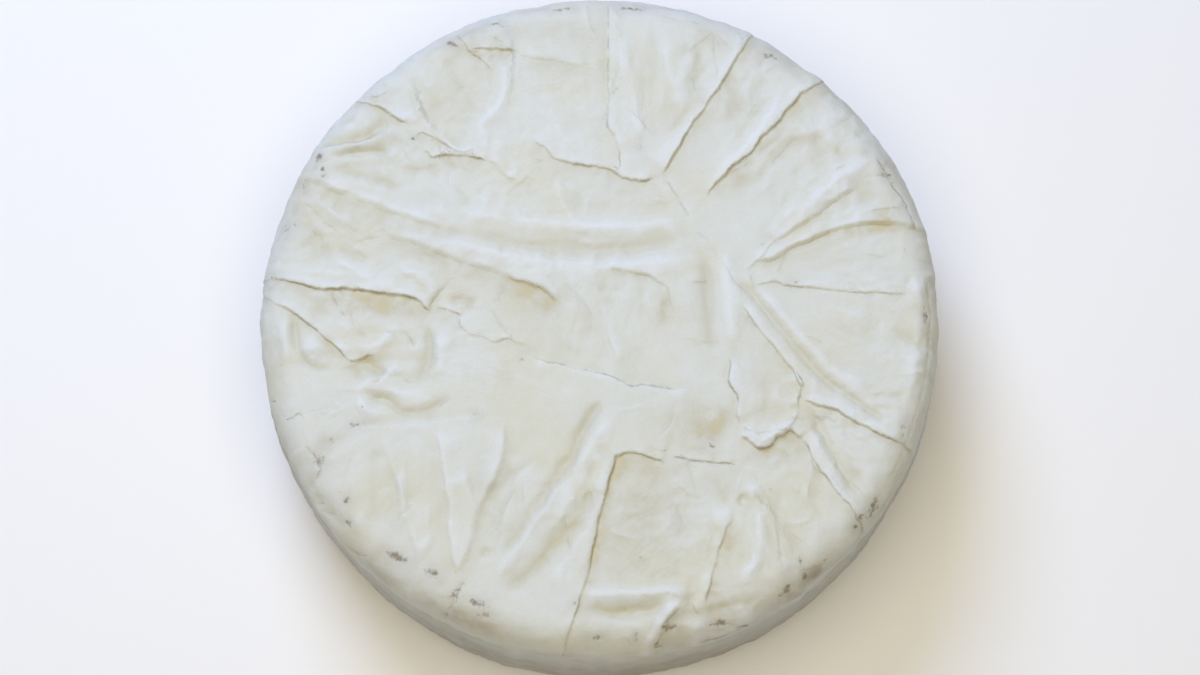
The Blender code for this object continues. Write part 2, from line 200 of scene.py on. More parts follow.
backFolds = {
    "panel, front edge": lip(((-31, 80), (-27, 76.5), (-23, 73), (-20, 70), (-16, 68), (-10, 67.5), (0, 66), (5, 65),
        (8, 62.5), (10, 61), (15, 60), (20, 59.5), (24, 61), (27, 61)), 1.7, 14, 0.8, 0.9, 0.9, 0.7),
    "panel, front edge, under layer": lip(((-30, 71), (-26, 69), (-20, 68)), 0.5, 3, 0.9, 0.8, 0.3, 0.3),
    "panel, right edge": lip(((26, 60.5), (29, 65), (33, 72), (37, 79), (41, 86), (45, 91), (49, 98), (53, 103),
        (57, 110), (60, 116), (65, 124), (76, 146)), 1.8, 12, 0.7, 0.3, 0.5, 0.8, 5),
    "second flap": lip(((46, 51), (48, 54), (51, 58), (55, 62), (58, 66), (61, 68), (64, 70.5), (67, 73), (71, 79),
        (76, 84), (81, 90), (85, 95), (90, 101), (94, 103), (110, 120)), 1.8, 13, 0.7, 0.7, 0.7, 0.8, 6),
    "seam of the cloth": lip(((4, 146), (4, 130), (4, 118), (4, 105), (4, 95), (3.5, 84), (6, 80), (9, 72), (9, 62)),
        1.0, 6, 1.2, 0.6, 0.7, 0.2, 3),
    "short flap": lip(((-58, 121), (-50, 121), (-45, 121), (-36, 120.5)), 1.4, 6, 0.9, 0.8, 0.8, 0.7, 4, 5),
    "short flap, right part": lip(((-37, 119), (-30, 117), (-20, 116), (-10, 113.5), (-5, 112.5)), 0.9, 6, 1.8, 0.5,
        0.25, 0.5),
    "crease under the short flap": lip(((-66, 132), (-60, 124), (-58, 120), (-53, 116), (-49, 112), (-46, 109)), 1.2,
        6, 1.0, 0.6, 0.5, 0.4),
    "small lip above it": lip(((-53, 130), (-49, 128), (-44, 125), (-40, 122)), 0.6, 3, 1.0, 0.6, 0.4, 0.3),
    "curved roll": roll(((-45, 117), (-42, 110), (-42, 104), (-43, 97), (-46, 91), (-52, 86), (-53, 80), (-56, 74)),
        1.1, 3.3),
    "gather, upper lip": lip(((-117, 106), (-106, 98), (-100, 95), (-93, 91), (-90, 88), (-86, 86.5), (-82, 84)), 2.2,
        8, 1.2, 0.8, 0.6, 0.8, 4),
    "gather, valley": roll(((-128, 76.5), (-120, 77), (-112, 78.5), (-104, 79.5), (-99, 82.5), (-95, 86.5),
        (-92, 90)), -1.6, 2.6, 0.75, 6),
    "gather, middle roll": roll(((-130, 73), (-118, 75), (-104, 77), (-96, 80), (-88, 84)), 1.2, 2.6),
    "gather, brown slope": lip(((-86, 83), (-87, 78), (-92, 74)), 0.8, 6, 4.0, 0.4, 0, 0.7, 4),
    "gather, crinkle": roll(((-96, 74), (-92, 71.5), (-87, 73.5)), 0.7, 1.6, 0, 4),
    "rim flap": lip(((-104, 101), (-99, 100), (-95, 102), (-92, 106)), 1.0, 4, 1.2, 0.6, 0.5, 0.7, 3, 4),
    "rim flap, second": lip(((-98, 108), (-95, 105), (-92, 104)), 0.8, 3, 1.0, 0.6, 0.5, 0.5, 3, 4),
    "rim dent": roll(((-118, 88), (-112, 88), (-107, 92)), -0.9, 2.2, 0.5, 5),
    "gather, thin lip": lip(((-83.5, 78.5), (-82, 79), (-80.5, 81.3), (-78.5, 81.8), (-75, 80), (-70, 77.5),
        (-66, 74.5), (-62, 72.7), (-58, 72.6), (-55, 75)), 1.4, 3, 1.0, 0.6, 0.6, 0.5, 2.5, 3),
    "gather, grey hollow": mound((-72, 75), -0.8, 3.6),
    "gather, lower lip": lip(((-78.5, 75.3), (-75.5, 73), (-74.2, 71), (-68, 71.3), (-62, 71), (-56, 70.5),
        (-49, 68.8)), 2.0, 7, 1.0, 0.9, 0.9, 1.0, 4, 4),
    "gather, lower lip, soft end": lip(((-51, 69.5), (-47, 68), (-44, 64), (-40, 61.3), (-35, 60)), 1.2, 5, 1.8, 0.5,
        0.25, 0.3, 3, 4),
    "line below the gather": crease(((-66, 67), (-66.5, 61), (-66, 55)), 0.2, 0.3, 1.2, 5, 0.4),
    "gather, small valley": roll(((-71, 83), (-66, 78.5), (-62, 75.5), (-58, 73.7)), -0.9, 1.4, 0.3, 5),
    "fan, first valley": roll(((-124, 71), (-114, 71.5), (-105, 73), (-95, 73), (-88, 71)), -1.0, 2.2, 0.5),
    "fan, second valley": roll(((-120, 67), (-110, 63), (-100, 60.5), (-92, 57.5), (-85, 53)), -1.0, 2.6, 0.5),
    "fan, third valley": roll(((-92, 66), (-84, 65), (-76, 65.5), (-69, 67.5)), -0.6, 1.8, 0.3),
    "thin lip at the middle": lip(((-42, 52), (-38, 56), (-34, 59.5), (-31, 62.5)), 0.5, 3, 0.8, 0.4, 0.4, 0.3, 3, 4),
    "soft ridge below the panel": roll(((-18, 64), (-18, 56), (-16, 48), (-11, 42), (-6, 39)), 0.9, 2.8),
    "soft ridge left of it": roll(((-47, 60), (-50, 51), (-52, 43)), 0.8, 2.8),
    "panel, bright slope": lip(((25, 137), (27, 122), (31, 106), (34, 90)), 1.1, 6, 4.5, 0.3, 0.0, 0.1),
    "panel, brown slope": lip(((37, 86), (40, 104), (44, 122)), 0.9, 6, 5.0, 0.3, 0.0, 0.4, 5),
    "panel, soft ridge": roll(((12, 122), (15, 100), (18, 76)), 0.5, 3.5),
    "flap, bright slope": lip(((59, 114), (62, 102), (65, 88)), 1.1, 6, 5.0, 0.3, 0.0, 0.1),
    "flap, brown slope": lip(((55, 84), (57, 98), (55, 108)), 0.8, 5, 4.0, 0.3, 0.0, 0.45, 5),
    "upper right, arched slope": lip(((67, 57), (71, 65), (76, 73), (83, 79), (92, 81), (98, 80), (101.5, 75),
        (102, 68), (101.5, 59)), 1.2, 6, 4.0, 0.3, 0.0, 0.4, 4),
    "panel, back lip": lip(((25, 139), (35, 136), (45, 134), (50, 131.5)), 0.5, 3, 1.0, 0.5, 0.4, 0.3),
    "panel, slanting lip": lip(((37, 117), (42, 122), (48, 128), (51, 132)), 0.5, 4, 1.2, 0.5, 0.2, 0.4),
    "crease by the panel's right edge": crease(((50, 131), (51, 120), (52, 112), (52, 105)), 0.3),
    "crease over the edge": crease(((52, 128), (60, 119)), 0.35),
}
middleFolds = {
    "long fold, left half": lip(((-141, 66), (-123, 59), (-117, 56), (-110, 53.5), (-100, 49.5), (-92, 46),
        (-85, 43.5), (-78, 40.5), (-68, 38), (-58, 36.5)), 1.7, 9, 3.6, 0.3, 0.2, 0.8, 5),
    "long fold, right half": roll(((-84, 49), (-45, 42), (-20, 39), (0, 37.5), (20, 38.5), (48, 43)), 1.4, 4.6, 0,
        36),
    "valley below the long fold": roll(((-66, 37), (-45, 32), (-20, 28.5), (5, 28), (25, 30.5), (48, 36)), -0.9, 3.4,
        0.2, 32),
    "second fold, crest": roll(((-100, 44), (-85, 36), (-70, 30.5), (-40, 24), (-15, 20.5), (0, 19.5), (25, 21),
        (54, 28)), 1.2, 5.0, 0, 34),
    "second fold, lower edge": lip(((-98, 38), (-90, 34), (-82, 32), (-76, 29), (-70, 27), (-65, 24.5), (-58, 22),
        (-50, 20), (-44, 17.5), (-38, 15), (-32, 13), (-27, 11), (-22, 8), (-17, 3)), 1.5, 9, 3.0, 0.5, 0.3, 0.65, 6),
    "crease into the second fold": crease(((-97, 39), (-94, 36), (-90, 33.5)), 0.35, 0.3, 1.2),
    "thin lip left of it": lip(((-108, 32), (-100, 33.5), (-92, 34.5)), 0.4, 3, 1.0, 0.4, 0.3, 0.3, 2.5, 5),
    "slanting valley, left": roll(((-120, 33), (-110, 27), (-98, 20)), -0.6, 3.0, 0.3),
    "slanting ridge, left": roll(((-118, 25), (-108, 19), (-97, 12)), 0.6, 2.6),
    "rolled bump before the flap": roll(((-90, 18), (-82, 17.5), (-76, 14), (-72, 9), (-69, 3)), 0.8, 3.0),
    "hollow beside it": roll(((-67, 4), (-60, 5.5), (-53, 2.5)), -0.7, 2.4, 0.6, 4),
    "left creases, first": crease(((-130, 50), (-126, 46.5), (-122, 42), (-117, 38), (-113, 34.5)), 0.4, 0.4, 1.4),
    "left creases, second": crease(((-126, 38), (-124, 35), (-122, 32)), 0.4, 0.3, 1.0),
    "centre panel, front edge": lip(((42, -34), (34, -34.5), (25, -34), (18, -33), (12, -33.5), (8, -31), (3, -28.5),
        (-5, -27), (-15, -24.5), (-24, -22.5), (-31, -20)), 1.2, 12, 0.8, 0.9, 0.75, 0.1, 3),
    "centre panel, left lip": lip(((-61, -2), (-60, -6), (-58.5, -8.5), (-56, -10), (-51, -11), (-47, -13.5),
        (-44, -13), (-40, -12.5), (-35, -14), (-31, -16)), 0.6, 6, 0.8, 0.7, 0.5, 0.35, 3, 4),
    "small lip above it": lip(((-71, 2), (-67, 1.5), (-63, 0), (-59, -2.5)), 0.8, 4, 0.8, 0.7, 0.6, 0.4, 3, 3),
    "second fold, dark end": lip(((-42, 16), (-34, 14), (-27, 11), (-21, 7), (-16, 3)), 0.6, 5, 1.6, 0.4, 0.6, 0.8,
        4),
    "ridge beyond its end": lip(((-17, 15), (-13, 11.5), (-9, 7.5), (-5, 2.5), (-2, -4)), 0.7, 5, 2.4, 0.3, 0.2, 0.4,
        4, 5),
    "step right of the middle": roll(((53, 30), (56, 14), (57, 0), (57, -18)), 1.0, 4.4),
    "valley left of the step": roll(((46, 27), (47, 5), (48, -24)), -0.8, 3.4, 0.25, 14),
    "curved lip": lip(((1, 18.7), (8, 18.7), (14, 17.5), (22, 16), (25.5, 13.5), (29.5, 11), (30.5, 7), (31.5, 2),
        (33, -2)), 1.0, 5, 1.5, 0.3, 0.3, 0.6, 2.5, 6),
    "centre, bright slope": lip(((3, -2), (4, -12), (6, -18), (8, -27)), 1.3, 5, 2.2, 0.3, 0.0, 0.1),
    "centre, second bright slope": lip(((18, 15), (19, 5), (20, -6)), 1.0, 5, 2.6, 0.3, 0.0, 0.1),
    "centre, brown slope": lip(((26, -9), (27, 0), (27, 9)), 0.9, 5, 2.6, 0.3, 0.0, 0.5),
    "crease right of the panel": crease(((28, 60), (31, 57), (35, 50), (38, 45), (39.5, 41)), 0.45, 0.35, 0.9),
    "crease on to the right": crease(((42, 37), (45, 34), (49, 30), (52, 24), (55, 19), (60, 12), (65, 7)), 0.3, 0.4,
        1.0),
}
leftFolds = {
    "flap": lip(((-170, 20), (-147, 16), (-140, 15), (-130, 13), (-125, 11), (-120, 10), (-112, 10.5), (-105, 10),
        (-98, 9), (-92, 8), (-85, 7), (-80, 6), (-77, 4), (-75, 1), (-72.5, 0.5)), 1.9, 10, 0.8, 0.7, 1.0, 0.8, 5, 4),
    "folded band": lip(((-165, 16), (-147, 8), (-142, 5), (-137, 2), (-132, -1), (-126, -6), (-120, -11), (-114, -16),
        (-110, -19.5), (-107, -22), (-103, -21), (-97, -19)), 1.6, 8, 0.9, 0.4, 0.75, 0.6, 3.5, 5),
    "crease between them": crease(((-117, 9.5), (-115, 5), (-113, 1), (-110, -3)), 0.5, 0.5, 1.1, 3),
    "crease right of it": crease(((-108.5, 6), (-108, 0), (-107, -5), (-104, -9.5), (-100, -12)), 0.2, 0.6, 1.3, 4),
    "wrinkle round the blister": roll(((-134, 2), (-132.5, -8), (-131, -15), (-129, -20), (-124, -24.5), (-118, -25),
        (-114, -22.5)), -1.1, 2.0, 0.4),
    "blister": mound((-124, -16), 1.6, 5),
    "pleat beside the blister": roll(((-136, 1), (-137, -12), (-134, -24)), 0.7, 2.2),
    "pocket under the band": roll(((-106, -22.5), (-101, -23), (-96, -26), (-92, -29)), -1.3, 2.6, 0.9, 3),
    "inner wrinkle, ridge": roll(((-105, -20), (-100, -17), (-94, -14), (-90, -9), (-87, -4)), 1.4, 3.2),
    "inner wrinkle, dark fold": crease(((-94, -9), (-90, -10), (-87, -13)), 0.45, 0.7, 1.3, 3),
    "inner wrinkle, curl": crease(((-86, -8), (-83, -11), (-80, -17)), 0.35, 0.7, 1.5, 3),
    "inner wrinkle, valley": roll(((-76, -4), (-74, -12), (-74, -20), (-76, -27), (-80, -32)), -1.1, 2.8, 0.55),
    "ridge right of the valley": roll(((-71, -8), (-69, -20), (-71, -31)), 0.7, 2.8),
    "crease below the valley": crease(((-86, -30), (-80, -32), (-74, -33.5)), 0.4, 0.4, 1.2, 4),
    "forked wrinkle, upper arm": roll(((-107, -37), (-101, -33), (-96, -30), (-90, -27), (-84, -22)), 1.2, 3.0),
    "forked wrinkle, lower arm": roll(((-107, -35), (-103, -40), (-100, -44), (-95, -50)), 1.0, 2.5),
    "valley behind the front panel": roll(((-103, -37), (-95, -38), (-90, -40), (-86, -44), (-80, -45), (-74, -44),
        (-68, -40), (-62, -37)), -1.0, 2.4, 0.5),
    "crease in that valley": crease(((-99, -37.2), (-93, -38.5), (-89, -41.5), (-86, -44)), 0.35, 0.2, 0.9, 4),
    "front panel, back edge": lip(((-48, -45), (-57, -46.5), (-65, -48), (-75, -49.5), (-85, -50.2), (-96, -51),
        (-108, -51)), 0.9, 10, 0.9, 0.5, 0.15, 0.0),
    "front panel, bright slope": lip(((-71, -52), (-68, -65), (-66, -80), (-64.5, -95), (-62.5, -108), (-61, -118)),
        1.4, 9, 2.8, 0.15, 0.0, 0.1, 3),
    "front panel, long slope": lip(((-95, -54), (-91, -65), (-87, -75), (-84, -88), (-80, -100), (-76, -110)), 1.0,
        10, 3.0, 0.15, 0.0, 0.15, 4),
    "front panel, brown slope": lip(((-61, -116), (-54, -100), (-52, -88), (-47, -78), (-43, -70), (-41, -60),
        (-41, -48)), 1.6, 8, 3.4, 0.5, 0.0, 0.6, 3),
    "front panel, faint pleat": roll(((-98, -55), (-97, -78), (-94, -97)), -0.4, 2.6, 0.1),
    "front panel, second faint pleat": roll(((-79, -54), (-77, -75), (-74, -98)), 0.35, 2.6),
    "rim crease, upper": crease(((-137, -48), (-132, -46.5), (-130, -45), (-126.5, -47.5)), 1.0, 0.4, 0.9, 3, 0.8),
    "rim crease, lower": crease(((-128, -59), (-124, -62), (-122, -65), (-119, -70), (-122.5, -75)), 0.8, 0.4, 0.8, 3,
        1.0),
    "rim dash": crease(((-146, -39), (-141, -39)), 0.9, 0.3, 0.8, 1.5, 0.3),
    "rim roll": roll(((-133, -72), (-125, -86), (-113, -101)), 0.7, 3.4),
    "rim valley": roll(((-128, -70), (-119, -84), (-106, -98)), -0.7, 3.2, 0.15),
    "rim crease, third": crease(((-125.5, -61), (-121.5, -66), (-119, -70.5), (-121, -72.5), (-123.5, -75)), 0.6, 0.4,
        0.8, 2, 0.8),
    "rim fold, lower": crease(((-124, -87.5), (-119, -88.5), (-113, -90)), 0.6, 0.5, 1.2, 3, 0.4),
    "crack at the pleats": crease(((-57, -118), (-60, -122), (-61, -127), (-65, -132), (-68, -138)), 1.0, 0.8, 1.0, 3,
        0.9),
    "rim crack, lower left": crease(((-112, -105), (-105, -107.5), (-99, -107)), 0.9, 0.5, 1.0, 2, 0.9),
    "rim pinch": crease(((-129, -82), (-124, -84), (-118, -84.5)), 0.45, 0.4, 1.1, 3),
}
frontFolds = {
    "slanting roll": roll(((9, -42), (2, -52), (-4, -61), (-10, -70), (-20, -83), (-30, -97), (-38, -109),
        (-47, -122)), 1.4, 4.2, 0, 24),
    "valley left of it": roll(((2, -38), (-5, -48), (-9, -56), (-12, -65), (-20, -77), (-26, -86), (-34, -97),
        (-42, -109)), -1.2, 2.8, 0.5),
    "valley right of it": roll(((-2, -75), (-8, -90), (-15, -98), (-22, -106), (-32, -116), (-41, -124)), -1.1, 3.6,
        0.6),
    "soft roll right of it": roll(((4, -72), (-3, -92), (-14, -108), (-22, -122)), 0.7, 3.4),
    "sunk panel, left edge": lip(((-18, -162), (-15, -145), (-10, -131), (-6, -117), (-3, -104), (-1, -93), (1, -86),
        (3, -78), (5, -70), (8, -62)), 1.9, 10, 1.0, 0.5, 0.55, 0.75, 4),
    "sunk panel, back edge": lip(((5, -66), (8, -63.8), (12, -62.5), (17, -63), (21, -64.5), (28, -67)), 1.4, 9, 0.8,
        0.6, 0.85, 0.9, 3.5, 3),
    "sunk panel, far back edge": lip(((30, -64.5), (40, -65.8), (50, -66.8), (59, -68)), 0.7, 8, 0.7, 0.25, 0.7, 0.1,
        2, 4),
    "sunk panel, right edge": lip(((44, -129), (46, -121), (48, -113), (50, -106), (52, -100), (54, -95), (57, -91)),
        1.5, 6, 1.4, 0.4, 0.5, 0.75, 4, 5),
    "sunk panel, small flap": lip(((29, -70), (32, -75), (35, -78), (40, -81), (47, -83)), 0.6, 4, 1.0, 0.5, 0.15,
        0.35),
    "sunk panel, light streak": roll(((-1, -90), (4, -95.5), (10, -98.5), (17, -99.5), (23, -98)), 0.45, 1.3),
    "sunk panel, blotch": mound((53, -90), 0.8, 3.6),
    "front roll": roll(((-10, -124.5), (0, -124), (10, -123.6), (20, -123.8), (30, -123), (40, -126)), 1.7, 3.4),
    "hollow before the roll": roll(((-7, -130), (0, -130.5), (10, -131.5), (20, -130), (29, -127.5)), -1.6, 3.2, 0.6),
    "tuck over the edge": roll(((21, -158), (20, -147), (23, -140), (27, -134.5), (32, -129.5), (37, -126)), 1.8,
        2.6),
    "tuck, dark side": lip(((25, -158), (23.5, -146), (26, -138), (30, -132.5), (35, -128.5)), 1.1, 4, 1.6, 0.6, 0.7,
        0.8, 4, 5),
    "swollen edge": roll(((34, -150), (45, -146.5), (58, -141), (72, -134)), 1.8, 5.4),
    "brown valley": roll(((30, -133), (40, -132), (50, -130), (60, -128), (70, -127)), -1.5, 3.2, 0.5),
    "front crack": crease(((45, -137), (50, -137.5), (55, -136.5), (60, -138.5), (67, -137.5)), 0.8, 0.6, 1.2, 3,
        0.8),
    "front crack, lower": crease(((41, -146), (52, -145), (62, -142)), 0.7, 0.5, 1.2, 4, 0.8),
    "brown patch, upper edge": lip(((84, -113.5), (88, -112.5), (93, -111.5), (98, -109.5)), 0.9, 4, 1.0, 0.6, 0.3,
        0.2, 3, 3),
    "front lump, left": mound((41, -138), 1.5, 5.5),
    "front lump, right": mound((63, -132), 1.4, 5.0),
    "pleat beside the sunk panel": roll(((66, -84), (68, -95), (68, -104), (65, -112), (58, -121)), 1.3, 3.6),
    "pit": mound((61, -83), -1.6, 2.0),
    "bump at the pit": mound((66, -79), 1.2, 3.2),
    "nick by the bump": mound((67.5, -74.5), -0.5, 1.4),
    "second nick": mound((69.5, -83), -0.6, 1.4),
    "thin ridge": lip(((83, -109), (80, -101), (76, -93), (73, -88), (70, -80), (69, -76)), 0.7, 5, 1.2, 0.4, 0.1,
        0.4, 3),
    "curved thin ridge": roll(((76, -91.5), (82, -93), (88, -92), (92, -87)), 0.5, 1.4),
    "edge of the short panel": lip(((62, -68), (58, -76), (57, -84)), 0.4, 4, 1.4, 0.5, 0.1, 0.2),
}
rightFolds = {
    "tongue": mound((70, -38), 1.5, 14),
    "tongue, front lip": lip(((60, -54.5), (63, -57), (65, -59), (68, -60.5), (71, -60), (74, -58.5), (76, -56),
        (79, -55), (81, -53), (84, -54), (87, -57)), 2.2, 6, 0.8, 0.7, 1.0, 0.75, 5, 3),
    "tongue, upper layer": lip(((61, -50.5), (64, -53), (67, -54.5), (70, -54), (74, -53.3), (80, -52), (84, -48),
        (86, -44)), 0.7, 3, 0.8, 0.7, 0.35, 0.0, 2, 3),
    "tongue, left side": lip(((57, -20), (56, -25), (56, -31), (57.5, -35), (59.5, -39), (58.5, -43), (59, -47),
        (61, -50.5)), 2.0, 7, 1.1, 0.6, 0.9, 0.3, 2, 5),
    "tongue, right side": lip(((86, -44), (85.5, -38), (87, -32), (84, -26)), 1.5, 5, 1.1, 0.5, 0.8, 0.3, 2, 4),
    "tongue, rolled edge": roll(((61, -49), (64, -53), (69, -57.5), (74, -55.5), (79, -52.5), (84, -51)), 1.0, 1.5, 0,
        4),
    "diagonal fold, left edge": lip(((61, 4), (63, 1), (68, -7), (73, -13), (78, -19), (82, -24.5), (84, -27),
        (86, -33), (88, -40)), 1.5, 6, 1.0, 0.4, 0.5, 0.4, 3),
    "diagonal fold, groove": roll(((58, 15), (66, 8), (73, -1), (80, -10), (88, -20), (95, -28), (105, -36),
        (115, -43), (124, -50)), -1.4, 2.2, 0.2),
    "diagonal fold, ridge beside the groove": roll(((66, 13), (78, -1), (90, -15), (101, -26), (116, -38)), 0.8, 3.4),
    "lower flap, front edge": lip(((87, -39.5), (92, -41), (97, -42), (103, -44.5), (108, -48), (114, -51),
        (120, -54), (127, -57), (134, -60), (152, -68)), 1.7, 10, 0.8, 0.9, 0.9, 0.4, 3.5, 4),
    "slanting strip, left edge": lip(((86, -56), (89, -60), (91, -65), (95, -71), (98, -75), (101, -79), (105, -84),
        (109, -88), (113, -93), (122, -104)), 1.6, 5, 0.9, 0.8, 0.8, 0.4, 3.5, 5),
    "slanting strip, groove": roll(((91, -42), (95, -52), (100, -63), (105, -73), (112, -83)), -1.4, 2.6),
    "slanting strip, crest": roll(((88, -50), (93, -58), (99, -68), (106, -78)), 0.7, 2.2),
    "pleat before the tongue": roll(((89, -58), (89.5, -70), (88, -86)), 1.1, 2.8),
    "upper flap, front edge": lip(((66, 20), (70, 22.5), (75, 23.7), (80, 27), (85, 29.8), (90, 31.8), (95, 34),
        (100, 36), (105, 38), (112, 39.3), (120, 40), (130, 40), (140, 39), (160, 40)), 2.2, 11, 2.6, 0.3, 0.3, 1.0,
        4),
    "upper flap, first layer": lip(((63, 18), (66, 20.5), (70, 24), (74, 30), (78, 33)), 0.6, 4, 0.9, 0.6, 0.45, 0.2,
        3, 4),
    "upper flap, notch": lip(((67, 9), (66, 12), (64.5, 17)), 0.5, 4, 0.9, 0.5, 0.4, 0.2, 3, 3),
    "slanting lip": lip(((74, 31), (80, 34), (86, 38.5), (92, 42), (97, 46), (102, 50), (107, 53.5), (113, 57)), 1.5,
        8, 2.4, 0.3, 0.3, 0.05, 3, 6),
    "slanting roll": roll(((78, 40), (88, 47), (98, 55), (110, 63), (124, 70)), 0.8, 4.0),
    "valley below the slanting lip": roll(((80, 31), (88, 36.5), (98, 42), (110, 48), (126, 53)), -0.4, 2.8, 0),
    "rim crack, upper right": crease(((121, 71), (124, 67.5), (126.5, 63.5), (129, 58), (132, 53.5), (134.5, 48),
        (137, 43), (139, 37)), 0.9, 0.5, 1.0, 3, 0.8),
    "fan, upper roll": roll(((70, 50), (74, 60), (80, 70)), 0.5, 3.0),
    "fan, upper valley": roll(((104, 66), (105, 73), (106, 80)), -0.7, 2.6, 0.4),
    "strip below the upper flap": lip(((67, 12), (72, 12.3), (77, 13.5), (80, 12), (85, 11.5), (95, 10.5), (110, 9),
        (134, 8)), 1.0, 9, 0.8, 0.5, 0.5, 0.3, 3, 4),
    "lip near the right edge": lip(((113, 43), (120, 46), (128, 47), (136, 48)), 0.6, 4, 1.0, 0.6, 0.4, 0.5, 4),
    "crease near the right edge": crease(((119, 61.3), (124, 62.3), (131, 61)), 0.9, 0.4),
    "rim roll": roll(((137, 20), (139, 0), (137, -20), (132, -42)), 0.7, 3.0),
    "hoop line": crease(((143, 18), (145, 0), (143, -20), (139, -40), (132, -60), (124, -76)), 0.35, 0.6, 1.2, 8,
        0.3),
}
topFolds = [*backFolds.values(), *middleFolds.values(), *leftFolds.values(), *frontFolds.values(),
            *rightFolds.values()]

# Brown and tan areas, partly stains and partly painted shade: (x, y, half length, half width, turn in degrees,
# amount)
stainAndShadeAreas = [
    (-96, 3, 22, 5, -6, 0.9), (-86, 1.5, 11, 3, -4, 0.5), (-62, 68, 6, 2.6, 0, 1.0), (-48, 118.5, 8, 1.8, 2, 0.8),
    (-74, 121, 5, 1.6, 35, 0.8), (-62, 92, 12, 9, 20, 0.3), (-122, 6, 5, 2.5, 8, 0.7), (-125, -2, 4, 9, 10, 0.35),
    (-104, -26, 4, 5, 20, 0.7), (-117, -16, 2.5, 6, 15, 0.6), (-84, 36, 10, 3, -20, 0.3), (-35, 8, 20, 7, -25, 0.5),
    (-58, 35, 22, 3, -6, 0.2), (8, 27, 36, 4, 2, 0.25), (-110, 42, 12, 7, -35, 0.3), (-126, 28, 8, 5, 0, 0.3),
    (-95, 64, 16, 5, -8, 0.3), (-100, 84, 8, 4, 40, 0.5), (35, -46, 24, 11, 0, 0.4), (17, -84, 13, 20, -8, 0.55),
    (8, -69, 3.5, 5, 20, 0.9), (0, -92, 18, 2.4, 76, 0.7), (-5, -113, 12, 2.4, 70, 0.8), (20, -108, 18, 14, 0, 0.45),
    (78, -61, 8, 4.5, 10, 0.85), (55, -102, 3, 6, -15, 0.75), (51, -130, 9, 3, 12, 0.4), (12, -131, 14, 2.5, 0, 0.4),
    (32, 95, 7, 18, -25, 0.3), (62, 92, 9, 7, 50, 0.4), (63, 60, 7, 4, 45, 0.55), (-20, 112, 22, 5, -8, 0.25),
    (-8, 125, 12, 10, 0, 0.3), (128, 42, 9, 4, 5, 0.5), (115, 37.5, 18, 2.2, 4, 0.7), (90, 78, 9, 3, 5, 0.35),
    (86, 93, 4, 4, 45, 0.45), (105, 73, 2.5, 4, 0, 0.4), (116, 50, 2, 8, 0, 0.3), (-118, -58, 6, 6, 0, 0.5),
    (76, -94, 3, 12, 25, 0.4), (-47, -84, 5, 22, 14, 0.5), (-18, -100, 6, 18, -35, 0.35), (-6, -50, 5, 12, -38, 0.3),
    (-88, -82, 7, 24, -12, 0.22), (28, 1, 3, 9, 0, 0.4), (70, -30, 8, 12, 0, 0.45), (-78, -46, 10, 2.5, 5, 0.4),
    (38, 121, 5, 3, 50, 0.7), (52, -48.5, 13, 2.8, 53, 0.5), (42, -56, 9, 5, 35, 0.65), (46, -49, 9, 9, 0, 0.35),
    (72, -46, 8, 5, 0, 0.3), (93, -114, 8, 3.5, 28, 0.7), (-98, 98, 9, 3, -35, 0.4), (-52, 124, 15, 8, 18, 0.75),
    (-20, 130, 16, 6, 0, 0.45), (50, 127, 14, 7, -25, 0.55), (-62, 104, 20, 9, 30, 0.35), (126, 52, 7, 14, 10, 0.45),
    (-128, 40, 7, 20, 15, 0.5), (-98, 78, 14, 8, 20, 0.35), (-75, 50, 16, 5, -10, 0.3), (8, 18, 7, 1.5, -5, 0.5),
    (14, -23, 5, 9, 0, 0.4), (-14, -16, 7, 3, -25, 0.4), (45, -2, 4, 20, 0, 0.4), (-5, -5, 3, 5, 0, 0.6),
    (1, 12, 2.5, 3.5, 0, 0.5), (-22, 4, 6, 9, 30, 0.3), (30, -76, 12, 9, 0, 0.35), (50, -76, 8, 8, 0, 0.3),
    (26, 2, 5, 8, -20, 0.3), (6, 50, 18, 7, 0, 0.2), (-30, -6, 20, 8, -10, 0.15), (-68, -68, 3, 14, -5, -0.2),
]
